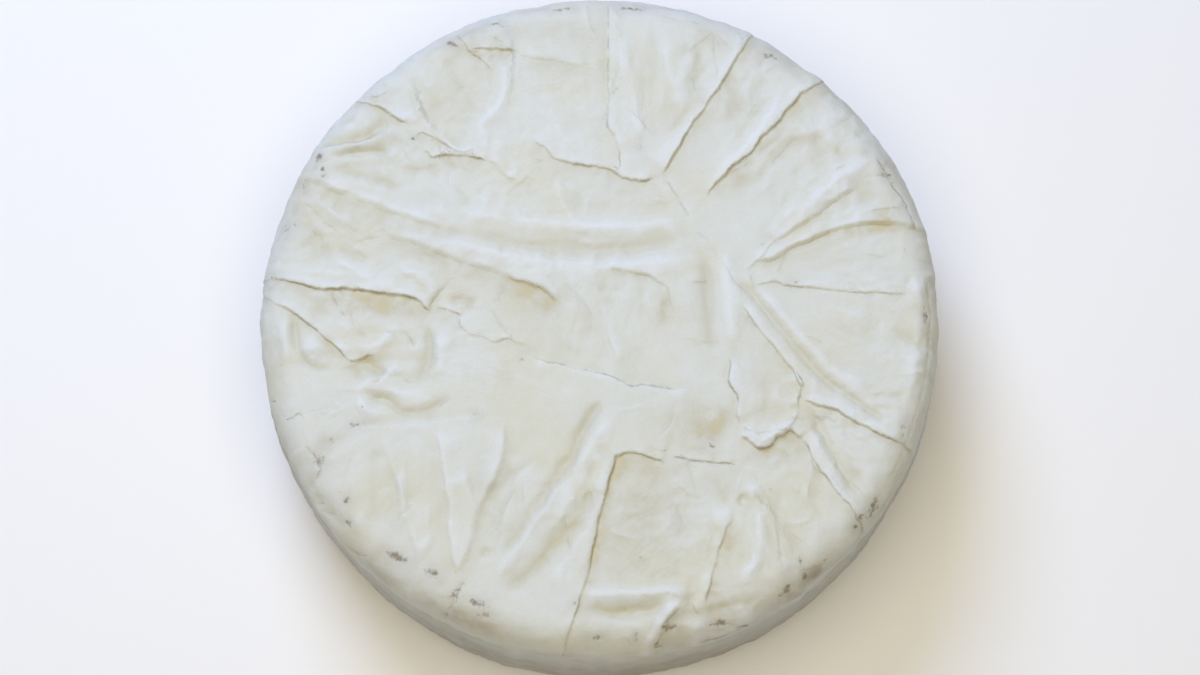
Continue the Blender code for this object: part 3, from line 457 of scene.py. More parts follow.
# Spots of brown mould and dirt, mostly on the rounded edge: (x, y, half length, half width, turn, amount)
mouldSpots = [
    (-86, -107, 6.5, 1.8, -22, 1.0), (-71, -115, 4.5, 2.0, -25, 0.9), (-52, -127.5, 5.5, 2.2, -20, 0.9),
    (-49, -133, 3.0, 1.6, -10, 0.9), (-108, -83.5, 2.2, 2.2, 0, 0.8), (-111.5, -81, 1.6, 2.4, 30, 0.5),
    (-107.5, -93, 2.4, 1.3, -50, 1.0), (-120, -66, 4.0, 4.0, 0, 0.7), (-115, -57, 5.0, 2.0, 20, 0.5),
    (-62, -125, 2.0, 4.5, -35, 0.8), (-46, 133, 4.5, 1.6, -20, 0.8), (-66, 123.5, 3.0, 1.3, -25, 0.8),
    (-59, 131, 2.0, 1.2, 0, 0.6), (-17, 141, 5.5, 1.4, 0, 0.8), (14, 141, 7.0, 1.5, 0, 0.9),
    (76, 118.5, 5.0, 2.4, -30, 0.8), (127, 63, 1.8, 1.3, 0, 0.9), (118, 73, 1.2, 1.2, 0, 0.7),
    (-124, 71, 1.8, 2.2, -30, 0.9), (-122, 65, 1.2, 1.1, 0, 1.0), (-122, 61.5, 1.2, 1.0, 0, 1.0),
    (-82.5, 79, 1.6, 1.2, 0, 0.8), (-67, 125.5, 2.6, 1.2, -40, 0.9), (-131, 58, 2.0, 1.6, 0, 0.8),
    (-138, 37, 1.6, 3.4, 12, 0.8), (-134, 40, 1.4, 2.4, 0, 0.6), (-1, -142, 3.4, 1.6, 0, 0.9),
    (15, -142, 1.3, 2.2, 0, 0.9), (29, -138, 4.5, 2.2, 10, 1.0), (24, -146, 3.0, 2.6, 0, 0.9),
    (50, -136.5, 5.0, 1.5, 8, 0.9), (85, -110, 3.6, 1.4, -60, 0.7), (87.5, -116, 2.4, 2.0, -50, 1.0),
    (80.5, -121, 2.2, 1.7, 20, 1.0), (78, -124, 1.9, 1.6, 0, 1.0), (112, -90, 2.4, 1.6, 30, 1.0),
    (110, -95, 1.4, 1.2, 0, 0.9), (118, -84.5, 2.0, 3.2, -20, 0.9), (96, -109, 2.6, 0.9, 10, 0.7),
    (63, -138.5, 5.0, 1.1, 12, 0.8), (52, -145, 9.0, 1.3, 4, 0.8), (130, -53, 1.6, 5.0, -15, 0.7),
    (141.5, -2, 1.6, 8.0, 0, 0.7), (80, -122, 5.0, 2.0, 50, 0.7), (-143, 16, 3.0, 1.0, -8, 0.7),
    (-12, -128, 3.5, 1.2, 0, 0.5), (60, -142, 7.0, 2.0, 20, 0.7), (118, -88, 3.0, 6.0, -38, 0.7),
    (-31, -17, 1.6, 1.2, 30, 0.5), (-54, -46, 1.2, 0.8, 0, 0.8), (-138, -22, 1.2, 5.0, 0, 0.4),
    (48, -59.5, 1.2, 2.4, 35, 0.6), (74, 33, 2.6, 1.0, -35, 0.5), (71, 30, 1.6, 0.8, 30, 0.5),
    (85, 13, 3.0, 0.7, 8, 0.5), (18, 74.5, 1.2, 1.0, 0, 0.6), (-105.5, -50, 4.2, 1.5, 5, 0.7),
]
bloom = dict(share=0.35, wider=1.7, beyond=1.5, pit=0.25)  # round each spot, and how deep the spot lies
# Wide brownish smudges along the rounded edge, laid out as above
smudges = [
    (93, -116, 9, 4.5, 28, 0.95), (84, -124, 12, 6, 35, 0.75), (80, -114, 4, 4, 0, 0.35), (96, -97, 5, 3, 30, 0.15),
    (124, -88, 13, 3, 58, 0.4), (110, -107, 12, 2.6, 45, 0.4), (57, -131, 12, 2.2, 5, 0.3), (52, -146, 16, 4, 8, 0.4),
    (20, -155, 24, 4, 2, 0.2), (-20, -155, 22, 4, -5, 0.2), (-60, -134, 22, 6, -25, 0.65),
    (-95, -117, 16, 5, -45, 0.45), (-121, -68, 5, 10, 20, 0.1), (139, -50, 2.5, 14, -20, 0.15),
    (145, -5, 2.5, 24, 0, 0.1), (128, 68, 4, 14, 28, 0.45), (108, 98, 12, 3.5, -42, 0.35),
    (78, 121, 10, 3, -33, 0.35), (20, 144, 22, 2.5, -3, 0.35), (-30, 141, 16, 2.5, 8, 0.3),
    (-136, 40, 3, 14, -14, 0.3), (-124, 68, 3, 7, -25, 0.4), (-60, 129, 10, 3, 24, 0.35),
]
# Areas of fine wrinkles: (x, y, half length, half width, turn, height, direction of the wrinkles, their spacing)
wrinkleAreas = [
    (-17, 112, 22, 26, 0, 0.30, 4, 4.2), (20, -100, 17, 26, -8, 0.34, -38, 3.6), (-66, -80, 30, 28, 0, 0.12, 84, 4.0),
    (24, 100, 18, 28, -12, 0.20, 82, 5.0), (70, 92, 14, 22, -40, 0.24, 52, 4.5), (38, -48, 22, 10, 0, 0.26, 84, 3.6),
    (5, 50, 26, 9, 0, 0.22, 8, 4.0), (0, -2, 44, 20, 0, 0.32, 80, 4.4), (-92, 88, 18, 20, 35, 0.18, 40, 4.5),
    (100, 88, 20, 16, 45, 0.30, 60, 4.2), (110, 22, 22, 12, 5, 0.14, 12, 4.4), (112, -18, 20, 18, 0, 0.14, -38, 4.5),
    (100, -62, 14, 9, -40, 0.18, -45, 3.6), (-110, 30, 20, 16, 0, 0.20, -30, 4.4),
    (-55, -20, 18, 20, 0, 0.26, 12, 3.8), (-110, -10, 20, 22, 0, 0.18, -40, 4.0),
    (80, -92, 14, 22, 20, 0.18, 96, 4.0), (-20, -75, 14, 34, -35, 0.16, 60, 4.6),
    (-60, 105, 26, 16, 35, 0.20, -62, 5.0), (60, -8, 12, 20, 0, 0.18, 75, 4.0), (40, 55, 16, 12, 0, 0.22, 50, 4.0),
    (-70, 12, 26, 9, -10, 0.20, -12, 4.0), (-40, 68, 18, 9, 0, 0.22, 30, 4.2), (66, -100, 12, 20, 0, 0.2, 80, 4.0),
]

# Areas that the cloth left smooth, laid out as the brown and tan areas
calmAreas = [
    (-72, -82, 36, 30, 0, 0.8), (100, 22, 30, 7, 4, 0.6), (20, 100, 12, 26, -10, 0.4), (-20, 38, 50, 5, 0, 0.5),
    (108, -15, 20, 14, -35, 0.5),
]

reliefNoise = dict(
    broad=(36.0, 0.42),  # spacing and height
    medium=(12.0, 0.18),
    small=(4.6, 0.06),
    warp=(5.0, 0.35),  # how far everything is pushed sideways, which makes the folds uneven
    fringe=(6.0, 0.34),  # how far the ragged edges wander, in long swings
    fringeFine=(1.7, 0.42),  # and in short ones
    swell=(15.0, 0.35),  # how much the folds' heights change along them
    crumple=(12.0, 0.62),  # sharp-crested creases like those of paper
    crumpleFine=(4.8, 0.36),
    rim=(5.5, 0.12),  # lumps along the rounded edge
    lively=(45.0, 0.35),  # spacing of the lively and calm areas, and how much is left in a calm one
    pleats=(5.5, 60.0, 0.24),  # the cloth's fine pleats near the edge: spacing across, along, and height
)


# Pleats that spread from where the cloth was gathered: the hub, how far from it they run, their directions in
# degrees, and their width near the hub and far from it
fans = {
    "left edge": dict(hub=(-142, 64), run=(14, 66), turn=(-64, 12), count=9, rise=0.55, width=(1.2, 3.2)),
    "upper left": dict(hub=(-42, 64), run=(18, 84), turn=(98, 160), count=9, rise=0.65, width=(1.5, 4.0)),
    "back panel": dict(hub=(18, 36), run=(38, 104), turn=(68, 97), count=7, rise=0.55, width=(1.8, 4.0)),
    "second flap": dict(hub=(28, 18), run=(48, 118), turn=(50, 61), count=3, rise=0.55, width=(1.6, 4.0)),
    "right": dict(hub=(57, 12), run=(14, 88), turn=(-32, 64), count=13, rise=0.45, width=(1.2, 3.8)),
    "lower right": dict(hub=(84, -38), run=(12, 66), turn=(-82, -20), count=8, rise=0.5, width=(1.2, 3.0)),
    "front left": dict(hub=(-75, 96), run=(150, 210), turn=(259, 283), count=12, rise=0.5, width=(1.5, 2.4)),
    "middle": dict(hub=(2, 170), run=(136, 188), turn=(252, 288), count=7, rise=0.32, width=(2.0, 4.2)),
    "front middle": dict(hub=(24, -14), run=(52, 118), turn=(225, 247), count=5, rise=0.5, width=(1.6, 3.2)),
    "left middle": dict(hub=(-150, -30), run=(30, 92), turn=(-14, 16), count=6, rise=0.5, width=(1.4, 3.0)),
    "front right": dict(hub=(62, -64), run=(14, 62), turn=(250, 300), count=6, rise=0.5, width=(1.3, 2.8)),
}


# Each fan's pleats leave its hub at nearly even turns, bent a little, and are ridges or valleys by chance. The
# valleys get a little tan, partly a stain and partly painted shade.
def fanFolds():
    draw = np.random.default_rng(17)
    folds = []
    for fan in fans.values():
        for number in range(fan["count"]):
            share = (number + draw.uniform(0.15, 0.85)) / fan["count"]
            angle = math.radians(fan["turn"][0] + (fan["turn"][1] - fan["turn"][0]) * share)
            first, last = fan["run"]
            span = last - first
            near, far = first + span * draw.uniform(0, 0.35), last - span * draw.uniform(0, 0.35)
            bend = draw.uniform(-1, 1) * 6 / far
            turns = ((near, angle), ((near + far) / 2, angle + bend), (far, angle))
            path = [(fan["hub"][0] + r * math.cos(a), fan["hub"][1] + r * math.sin(a)) for r, a in turns]
            narrow, wide = fan["width"]
            rise = fan["rise"] * draw.uniform(0.5, 1) * draw.choice((-1, 1))
            stainAndShade = 0.15 if rise < 0 else 0
            middle, flare = (narrow + wide) / 2, (wide - narrow) / (wide + narrow)
            folds.append(roll(path, rise, middle, stainAndShade, span / 4, 0.3, flare))
    return folds


strays = dict(count=150, seed=31, lipShare=0.4, length=(6.0, 26.0), rise=(0.2, 0.5), width=(1.1, 3.0), bend=0.25)


# Small creases besides those of the photograph: each starts anywhere on the top and runs more or less outwards,
# like the cloth's tension. Some are small lips and the others soft ridges and valleys.
def strayFolds():
    draw = np.random.default_rng(strays["seed"])
    folds = []
    for number in range(strays["count"]):
        away, angle = 146 * math.sqrt(draw.uniform(0.02, 1)), draw.uniform(-math.pi, math.pi)
        heading = angle + draw.normal(0, 0.35 if away > 70 else 1.2)
        bend, length = draw.uniform(-1, 1) * strays["bend"], draw.uniform(*strays["length"])
        x, y = away * math.cos(angle), away * math.sin(angle)
        path = [(x, y)]
        for part in (0.5, 0.5):
            heading += bend
            x, y = x + part * length * math.cos(heading), y + part * length * math.sin(heading)
            path.append((x, y))
        rise, width = draw.uniform(*strays["rise"]), draw.uniform(*strays["width"])
        if draw.uniform() < strays["lipShare"]:
            folds.append(lip(path, rise, 1.6 * width, 0.8, 1.0, 0.25, 0.25, 2.5, length / 3))
        else:
            folds.append(roll(path, rise * draw.choice((-1.2, 1.0)), width, 0.1, length / 2.5))
    return folds


wallCreases = dict(count=110, seed=23, lipShare=0.45, length=(10.0, 46.0), rise=(0.2, 0.6), width=(1.4, 4.5),
                   upright=0.35, first=150.0, last=baseFrom - 12)


# Creases of the wall, laid out as distances along the surface: most run round the wheel as the cloth's hoops do,
# and a share of them run down it.
def wallFolds():
    draw = np.random.default_rng(wallCreases["seed"])
    folds = []
    for number in range(wallCreases["count"]):
        away, angle = draw.uniform(wallCreases["first"], wallCreases["last"]), draw.uniform(-math.pi, math.pi)
        upright = draw.uniform() < wallCreases["upright"]
        heading = angle + draw.normal(0, 0.4) + (0 if upright else math.pi / 2 * draw.choice((-1, 1)))
        length = draw.uniform(*wallCreases["length"]) * (0.6 if upright else 1)
        circling = 0 if upright else 0.5 * length / away * np.sign(math.sin(heading - angle))
        bend = draw.uniform(-0.15, 0.15) + circling
        x, y = away * math.cos(angle), away * math.sin(angle)
        path = [(x, y)]
        for part in (0.5, 0.5):
            heading += bend
            x, y = x + part * length * math.cos(heading), y + part * length * math.sin(heading)
            path.append((x, y))
        rise, width = draw.uniform(*wallCreases["rise"]), draw.uniform(*wallCreases["width"])
        if draw.uniform() < wallCreases["lipShare"]:
            folds.append(lip(path, rise, 2.0 * width, 1.0, 0.8, 0.4, 0.3, 3, length / 3))
        else:
            folds.append(roll(path, rise * draw.choice((-1.0, 0.8)), width, 0.15, length / 2.5))
    return folds


hoops = dict(at=(168.0, 205.0), wander=1.6, ripple=1.1, ragged=0.6, dip=0.5, width=1.5, stainAndShade=0.3, stainAndShadeWidth=2.5)


# The two long creases: -dip · exp(-(offset/width)²) from a circle that wanders by sines of the direction. The tan
# along them is partly a stain and partly painted shade in the crease.
def addHoops(maps):
    away, turn = np.hypot(maps["x"], maps["y"]), np.arctan2(maps["y"], maps["x"])
    for at in hoops["at"]:
        circle = at + hoops["wander"] * np.sin(3 * turn + at) + hoops["ripple"] * np.sin(7 * turn + 2 * at)
        offset = away - circle + hoops["ragged"] * maps["fringe"]
        broken = smoothStep(-0.4, 0.3, np.sin(4 * turn + at) + 0.5 * np.sin(9 * turn))
        maps["height"] -= hoops["dip"] * broken * np.exp(-((offset / hoops["width"]) ** 2))
        maps["stainAndShade"] += hoops["stainAndShade"] * broken * np.exp(-((offset / hoops["stainAndShadeWidth"]) ** 2))


# Catmull-Rom curve through the points: closely spaced points for the folds to be measured from.
def curveThrough(points, step=2.0):
    knots = np.array(points, float)
    knots = np.vstack([2 * knots[0] - knots[1], knots, 2 * knots[-1] - knots[-2]])
    pieces = []
    for before, start, end, after in zip(knots, knots[1:], knots[2:], knots[3:]):
        count = max(2, round(np.linalg.norm(end - start) / step))
        t = np.arange(count)[:, None] / count
        bend = 2 * before - 5 * start + 4 * end - after
        twist = -before + 3 * start - 3 * end + after
        pieces.append(start + 0.5 * t * (end - before + t * (bend + t * twist)))
    return np.vstack([*pieces, knots[-2:-1]])


# Signed distance of each point to the nearest stretch of the line, + on its left, the length along the line up
# to there, and the line's whole length.
def measureFrom(line, x, y):
    steps = np.diff(line, axis=0)
    lengths = np.linalg.norm(steps, axis=1)
    starts = np.concatenate([[0], np.cumsum(lengths)])
    nearest = np.full(x.shape, np.inf)
    side = np.ones(x.shape)
    along = np.zeros(x.shape)
    for corner, step, length, start in zip(line, steps, lengths, starts):
        dx, dy = x - corner[0], y - corner[1]
        share = np.clip((dx * step[0] + dy * step[1]) / length**2, 0, 1)
        away = np.hypot(dx - share * step[0], dy - share * step[1])
        closer = away < nearest
        nearest = np.where(closer, away, nearest)
        side = np.where(closer, np.sign(step[0] * dy - step[1] * dx), side)
        along = np.where(closer, start + share * length, along)
    return nearest * side, along, starts[-1]


# Share of an ellipse's influence: exp of minus the squared distance in half axes, turned by the angle.
def ellipseShare(x, y, spot):
    turn = math.radians(spot[4])
    dx, dy = x - spot[0], y - spot[1]
    along = (dx * math.cos(turn) + dy * math.sin(turn)) / spot[2]
    across = (dy * math.cos(turn) - dx * math.sin(turn)) / spot[3]
    return np.exp(-(along**2 + across**2))


# The part of the map within margin of a box, as a pair of slices.
def nearBox(axis, low, high, margin):
    first = np.searchsorted(axis, np.array(low) - margin)
    last = np.searchsorted(axis, np.array(high) + margin)
    return slice(first[1], last[1]), slice(first[0], last[0])


# Adds one fold to the maps. A lip's height is rise · taper · (step up · exp(-behind/reach) - groove
# before it); a roll's or crease's is rise · taper · exp(-|offset/width|^1.5), whose crest is a little sharp.
def addFold(maps, fold):
    axis = maps["axis"]
    if fold["kind"] == "mound":
        window = nearBox(axis, fold["centre"], fold["centre"], 3 * fold["width"])
        x, y = maps["x"][window], maps["y"][window]
        away = np.hypot(x - fold["centre"][0], y - fold["centre"][1]) / fold["width"]
        maps["height"][window] += fold["rise"] * depth["mound"] * np.exp(-(away**2))
        return
    line = curveThrough(fold["path"])
    margin = 4.5 * fold.get("reach", 0) + 4 * fold.get("width", 0) + 4 + 3 * fold.get("fall", 0)
    window = nearBox(axis, line.min(0), line.max(0), margin)
    if 0 in maps["x"][window].shape:
        return
    offset, along, whole = measureFrom(line, maps["x"][window], maps["y"][window])
    offset = offset + fold["ragged"] * maps["fringe"][window]
    rise = fold["rise"] * depth[fold["kind"]] * maps["swell"][window]
    away = np.hypot(maps["x"][window], maps["y"][window])
    rise = rise * (1 - tightness[fold["kind"]] * smoothStep(*drawnTight, away))
    taper = smoothStep(0, min(fold["ends"], whole / 2), np.minimum(along, whole - along))
    if fold["kind"] == "lip":
        edge = fold["edge"]
        step = smoothStep(-edge / 2, edge / 2, offset)
        raised = step * np.exp(-np.maximum(offset, 0) / fold["reach"])
        groove = 0.15 * np.exp(-(((offset + edge) / edge) ** 2))
        maps["height"][window] += rise * taper * (raised - groove)
        # the rind before the step is browned: partly a stain, partly painted shade below the step
        before = np.maximum(-offset, 0)
        maps["stainAndShade"][window] += fold["stainAndShade"] * taper * (1 - step) * np.exp(-before / fold["fall"])
        lineAt = offset + 0.4 * edge
    else:
        width = fold["width"] * (1 + fold.get("flare", 0) * (2 * along / whole - 1))
        shape = np.exp(-(np.abs(offset / width) ** 1.5))
        maps["height"][window] += rise * taper * shape
        # browned by its stain amount: partly a stain, partly painted shade where it is a valley
        maps["stainAndShade"][window] += fold.get("stainAndShade", 0) * taper * shape
        lineAt = offset
    if fold.get("line"):
        nearer = (np.abs(lineAt) < np.abs(maps["lineOffset"][window])) & (taper > 0.02)
        maps["lineOffset"][window] = np.where(nearer, lineAt, maps["lineOffset"][window])
        strength = fold["line"] * smoothStep(0, 0.7, taper) * (1 - smoothStep(1.3, 2.0, np.abs(lineAt)))
        maps["line"][window] = np.where(nearer, strength, maps["line"][window])


# A copy of the map softened by a Gaussian of the given radius, by Fourier transform.
def soften(values, radius, step):
    frequency = np.fft.fftfreq(values.shape[0], step)
    keep = np.exp(-2 * (math.pi * radius * frequency) ** 2)
    return np.fft.ifft2(np.fft.fft2(values) * keep[:, None] * keep[None, :]).real


# All that is drawn on the cloth, laid out flat: height in mm, stain with painted shade, crevice lines, hollows, mould
# and threads.
def drawMaps(folds, reach, seed):
    step = wheel["mapStep"]
    axis = np.arange(-reach, reach + step, step)
    flatX, flatY = np.meshgrid(axis, axis)
    spacing, push = reliefNoise["warp"]
    x = flatX + push * roughNoise(flatX, flatY, spacing, seed + 10)
    y = flatY + push * roughNoise(flatX, flatY, spacing, seed + 20)
    maps = dict(axis=axis, step=step, x=x, y=y)
    for name in ("height", "stainAndShade", "line", "mould", "smudge", "threads"):
        maps[name] = np.zeros(x.shape)
    maps["threadTurn"] = np.zeros(x.shape)
    maps["lineOffset"] = np.full(x.shape, 9.0)
    maps["fringe"] = np.zeros(x.shape)
    for number, name in enumerate(("fringe", "fringeFine")):
        spacing, wander = reliefNoise[name]
        maps["fringe"] += wander * roughNoise(flatX, flatY, spacing, seed + 30 + 2 * number)
    spacing, change = reliefNoise["swell"]
    maps["swell"] = 1 + change * roughNoise(flatX, flatY, spacing, seed + 35)
    for fold in folds:
        addFold(maps, fold)
    return maps


# Uneven ground: lattice noises of three sizes, paper-like creases, pleats that run outwards and grow towards the
# edge, and lumps along it.
def addUnevenness(maps, seed):
    x, y = np.meshgrid(maps["axis"], maps["axis"])
    spacing, calm = reliefNoise["lively"]
    lively = calm + (1 - calm) * smoothStep(-0.7, 0.7, roughNoise(x, y, spacing, seed + 70))
    for area in calmAreas:
        lively = lively * (1 - area[5] * ellipseShare(x, y, area))
    for number, name in enumerate(("broad", "medium", "small")):
        spacing, height = reliefNoise[name]
        maps["height"] += height * roughNoise(x, y, spacing, seed + 40 + 3 * number) * (lively if number else 1)
    for number, name in enumerate(("crumple", "crumpleFine")):
        spacing, height = reliefNoise[name]
        ridged = 0.5 - np.abs(roughNoise(x, y, spacing, seed + 80 + 5 * number))
        maps["height"] += height * lively * ridged
    away, angle = np.hypot(x, y), np.arctan2(y, x)
    pleatAcross, pleatAlong, pleatHeight = reliefNoise["pleats"]
    around = angle * edgeReach / pleatAcross
    pleats = latticeNoise(around, away / pleatAlong, 1.0, seed + 60)
    pleats = pleats + 0.6 * latticeNoise(around * 2.1 + 7, away / pleatAlong * 1.6, 1.0, seed + 61)
    maps["height"] += pleatHeight * pleats * smoothStep(60, 150, away)
    spacing, height = reliefNoise["rim"]
    nearRim = smoothStep(flatTop - 8, flatTop + 8, away) * (1 - smoothStep(wallFrom + 10, wallFrom + 40, away))
    maps["height"] += height * roughNoise(x, y, spacing, seed + 90) * nearRim


# Fine wrinkles: lattice noise drawn out four times as long as wide along each area's direction, sharp on its
# crests, height · share · (0.5 - |noise|).
def addWrinkles(maps, seed):
    for number, area in enumerate(wrinkleAreas):
        window = nearBox(maps["axis"], area[:2], area[:2], 2.2 * max(area[2:4]))
        x, y = maps["x"][window], maps["y"][window]
        turn = math.radians(area[6])
        along, across = x * math.cos(turn) + y * math.sin(turn), y * math.cos(turn) - x * math.sin(turn)
        ridged = 0.5 - np.abs(roughNoise(along / 4, across, area[7], seed + 3 * number))
        maps["height"][window] += area[5] * ellipseShare(x, y, area) * ridged


hollowScales = ((2.5, 0.6, 1.3), (9.0, 1.5, 0.7))  # softened by, against softened by, and weight


# How much lower a place lies than its surroundings, at two scales, + in hollows and - on crests, from -1 to 1.
def addHollows(maps):
    step, height = maps["step"], maps["height"]
    lower = sum(weight * (soften(height, wide, step) - soften(height, narrow, step))
                for wide, narrow, weight in hollowScales)
    maps["hollow"] = np.clip(lower, -1, 1)


lineReach = 2.5  # how far from a crevice its distance is kept, in mm


# Stains with painted shade, mould and thread areas of the top.
def addMarks(maps):
    x, y = maps["x"], maps["y"]
    for spot in stainAndShadeAreas:
        maps["stainAndShade"] += spot[5] * ellipseShare(x, y, spot)
    for spot in mouldSpots:
        maps["mould"] = np.maximum(maps["mould"], spot[5] * ellipseShare(x, y, spot))
        halves = [bloom["wider"] * half + bloom["beyond"] for half in spot[2:4]]
        around = (*spot[:2], *halves, *spot[4:])
        maps["smudge"] = np.maximum(maps["smudge"], bloom["share"] * spot[5] * ellipseShare(x, y, around))
    for spot in smudges:
        maps["smudge"] = np.maximum(maps["smudge"], spot[5] * ellipseShare(x, y, spot))
    best = np.zeros(x.shape)
    for area in wrinkleAreas:
        share = min(1, area[5] / 0.25) * smoothStep(0.1, 0.6, ellipseShare(x, y, area))
        maps["threadTurn"] = np.where(share > best, math.radians(area[6]), maps["threadTurn"])
        best = np.maximum(best, share)
    maps["threads"] = best
    maps["height"] -= bloom["pit"] * maps["mould"]
    maps["stainAndShade"] = np.clip(maps["stainAndShade"], 0, 1)
    maps["lineOffset"] = np.clip(maps["lineOffset"], -lineReach, lineReach)


# The map's values at any points, by joining the four nearest cells in proportion.
def readMap(maps, name, x, y):
    values, step, low = maps[name], maps["step"], maps["axis"][0]
    column = np.clip((x - low) / step, 0, values.shape[1] - 2)
    row = np.clip((y - low) / step, 0, values.shape[0] - 2)
    i, j = column.astype(int), row.astype(int)
    u, v = column - i, row - j
    lower = values[j, i] * (1 - u) + values[j, i + 1] * u
    upper = values[j + 1, i] * (1 - u) + values[j + 1, i + 1] * u
    return lower * (1 - v) + upper * v


# Profile of the smooth wheel at a distance along its surface from the top's middle: radius, height and outward
# direction. Flat top, quarter circle, wall that swells by belly · sin², quarter circle, flat underside inwards.
def wheelProfile(arc):
    top, edge, base = wheel["height"], wheel["topEdge"], wheel["baseEdge"]
    turn = np.clip((arc - flatTop) / edge, 0, math.pi / 2)
    down = np.clip(arc - wallFrom, 0, wallLength)
    under = np.clip((arc - wallTo) / base, 0, math.pi / 2)
    inwards = np.maximum(arc - baseFrom, 0)
    swell = wheel["belly"] * np.sin(math.pi * down / wallLength) ** 2
    radius = np.minimum(arc, flatTop) + edge * np.sin(turn) + swell
    radius = radius - base * (1 - np.cos(under)) - inwards
    height = top - edge * (1 - np.cos(turn)) - down - base * np.sin(under)
    out = np.where(arc <= wallFrom, np.sin(turn), np.cos(under))
    up = np.where(arc <= wallFrom, np.cos(turn), -np.sin(under))
    return radius, height, out, up


# Back from a place on the wheel to the distance along the smooth surface: the profile's inverse, part by part.
def arcOf(radius, height):
    top, edge, base = wheel["height"], wheel["topEdge"], wheel["baseEdge"]
    turn = np.arctan2(np.maximum(radius - flatTop, 0), np.maximum(height - top + edge, 1e-9))
    under = np.arctan2(np.maximum(base - height, 0), np.maximum(radius - flatBase, 1e-9))
    onTop = np.where(radius < flatTop, radius, flatTop + edge * turn)
    onWall = wallFrom + np.clip(top - edge - height, 0, wallLength)
    below = np.where(radius > flatBase, wallTo + base * under, baseFrom + flatBase - radius)
    return np.where(height >= top - edge, onTop, np.where(height > base, onWall, below))


wallPleats = dict(count=17, seed=12, jitter=0.35, rise=0.6, width=8.0, widths=(0.7, 1.8), slant=0.5)


# Pleats of the wall: each adds rise · exp(-(offset/width)²) along a slanting line, faded at both edges.
def wallRelief(angle, height):
    draw = np.random.default_rng(wallPleats["seed"])
    total = np.zeros(angle.shape)
    for number in range(wallPleats["count"]):
        place = number + draw.uniform(-wallPleats["jitter"], wallPleats["jitter"])
        around = 2 * math.pi * place / wallPleats["count"]
        slant = wallPleats["slant"] * draw.uniform(-1, 1)
        rise = wallPleats["rise"] * draw.uniform(-1, 1)
        width = wallPleats["width"] * draw.uniform(*wallPleats["widths"])
        turn = (angle - around + math.pi) % (2 * math.pi) - math.pi
        offset = turn * edgeReach - slant * (height - wheel["height"] / 2)
        total += rise * np.exp(-((offset / width) ** 2))
    aboveBase = smoothStep(0, wheel["baseEdge"], height)
    belowTop = smoothStep(0, wheel["topEdge"], wheel["height"] - height)
    return total * aboveBase * belowTop


underFolds = dict(count=15, seed=5, jitter=0.3, outer=(112, 124), inner=(25, 75), bend=0.35, rise=0.8, reach=9.0,
                  level=1.4, rim=(108, 126))  # level: the height of the folds that is the flat's own; rim: its start


# The cloth's tails under the wheel: lips that run inwards from near the edge, pressed into the rind. What they
# would raise is taken down, so that nothing stands below the flat underside.
def underMaps():
    draw = np.random.default_rng(underFolds["seed"])
    folds = []
    for number in range(underFolds["count"]):
        place = number + draw.uniform(-underFolds["jitter"], underFolds["jitter"])
        angle = 2 * math.pi * place / underFolds["count"]
        outer, inner = draw.uniform(*underFolds["outer"]), draw.uniform(*underFolds["inner"])
        bend = draw.uniform(-underFolds["bend"], underFolds["bend"])
        reach = [outer, (outer + inner) / 2, inner]
        path = [(r * math.cos(angle + b), r * math.sin(angle + b)) for r, b in zip(reach, (0, bend / 2, bend))]
        folds.append(lip(path, underFolds["rise"] * draw.uniform(0.5, 1), underFolds["reach"], 1.2, 0.6, 0.5, 0.4))
    maps = drawMaps(folds, flatBase + 6, 900)
    maps["lineOffset"] = np.clip(maps["lineOffset"], -lineReach, lineReach)
    addUnevenness(maps, 950)
    addHollows(maps)
    return maps


# Recess of the underside in mm: how far it lies in from its own highest folds, none at the rim that it rests on.
def underRecess(maps, x, y):
    recess = np.maximum(underFolds["level"] - readMap(maps, "height", x, y), 0)
    return recess * (1 - smoothStep(*underFolds["rim"], np.hypot(x, y)))


# Height in mm to raise the smooth surface by, at a distance along it and a direction.
def raiseBy(top, under, arc, angle, height):
    x, y = arc * np.cos(angle), arc * np.sin(angle)
    fade = 1 - smoothStep(*foldsFade, arc)
    crown = wheel["crown"] * (1 - np.minimum(arc / flatTop, 1) ** 2)
    folds = readMap(top, "height", x, y)
    uneven = readMap(top, "uneven", x, y)
    ground = 1 - smoothStep(*groundFade, arc)
    raised = crown + fade * (folds - uneven) + ground * uneven + wallRelief(angle, height)
    inner = baseFrom + flatBase - arc
    recess = underRecess(under, inner * np.cos(angle), inner * np.sin(angle))
    return np.where(arc > baseFrom, -recess, raised)


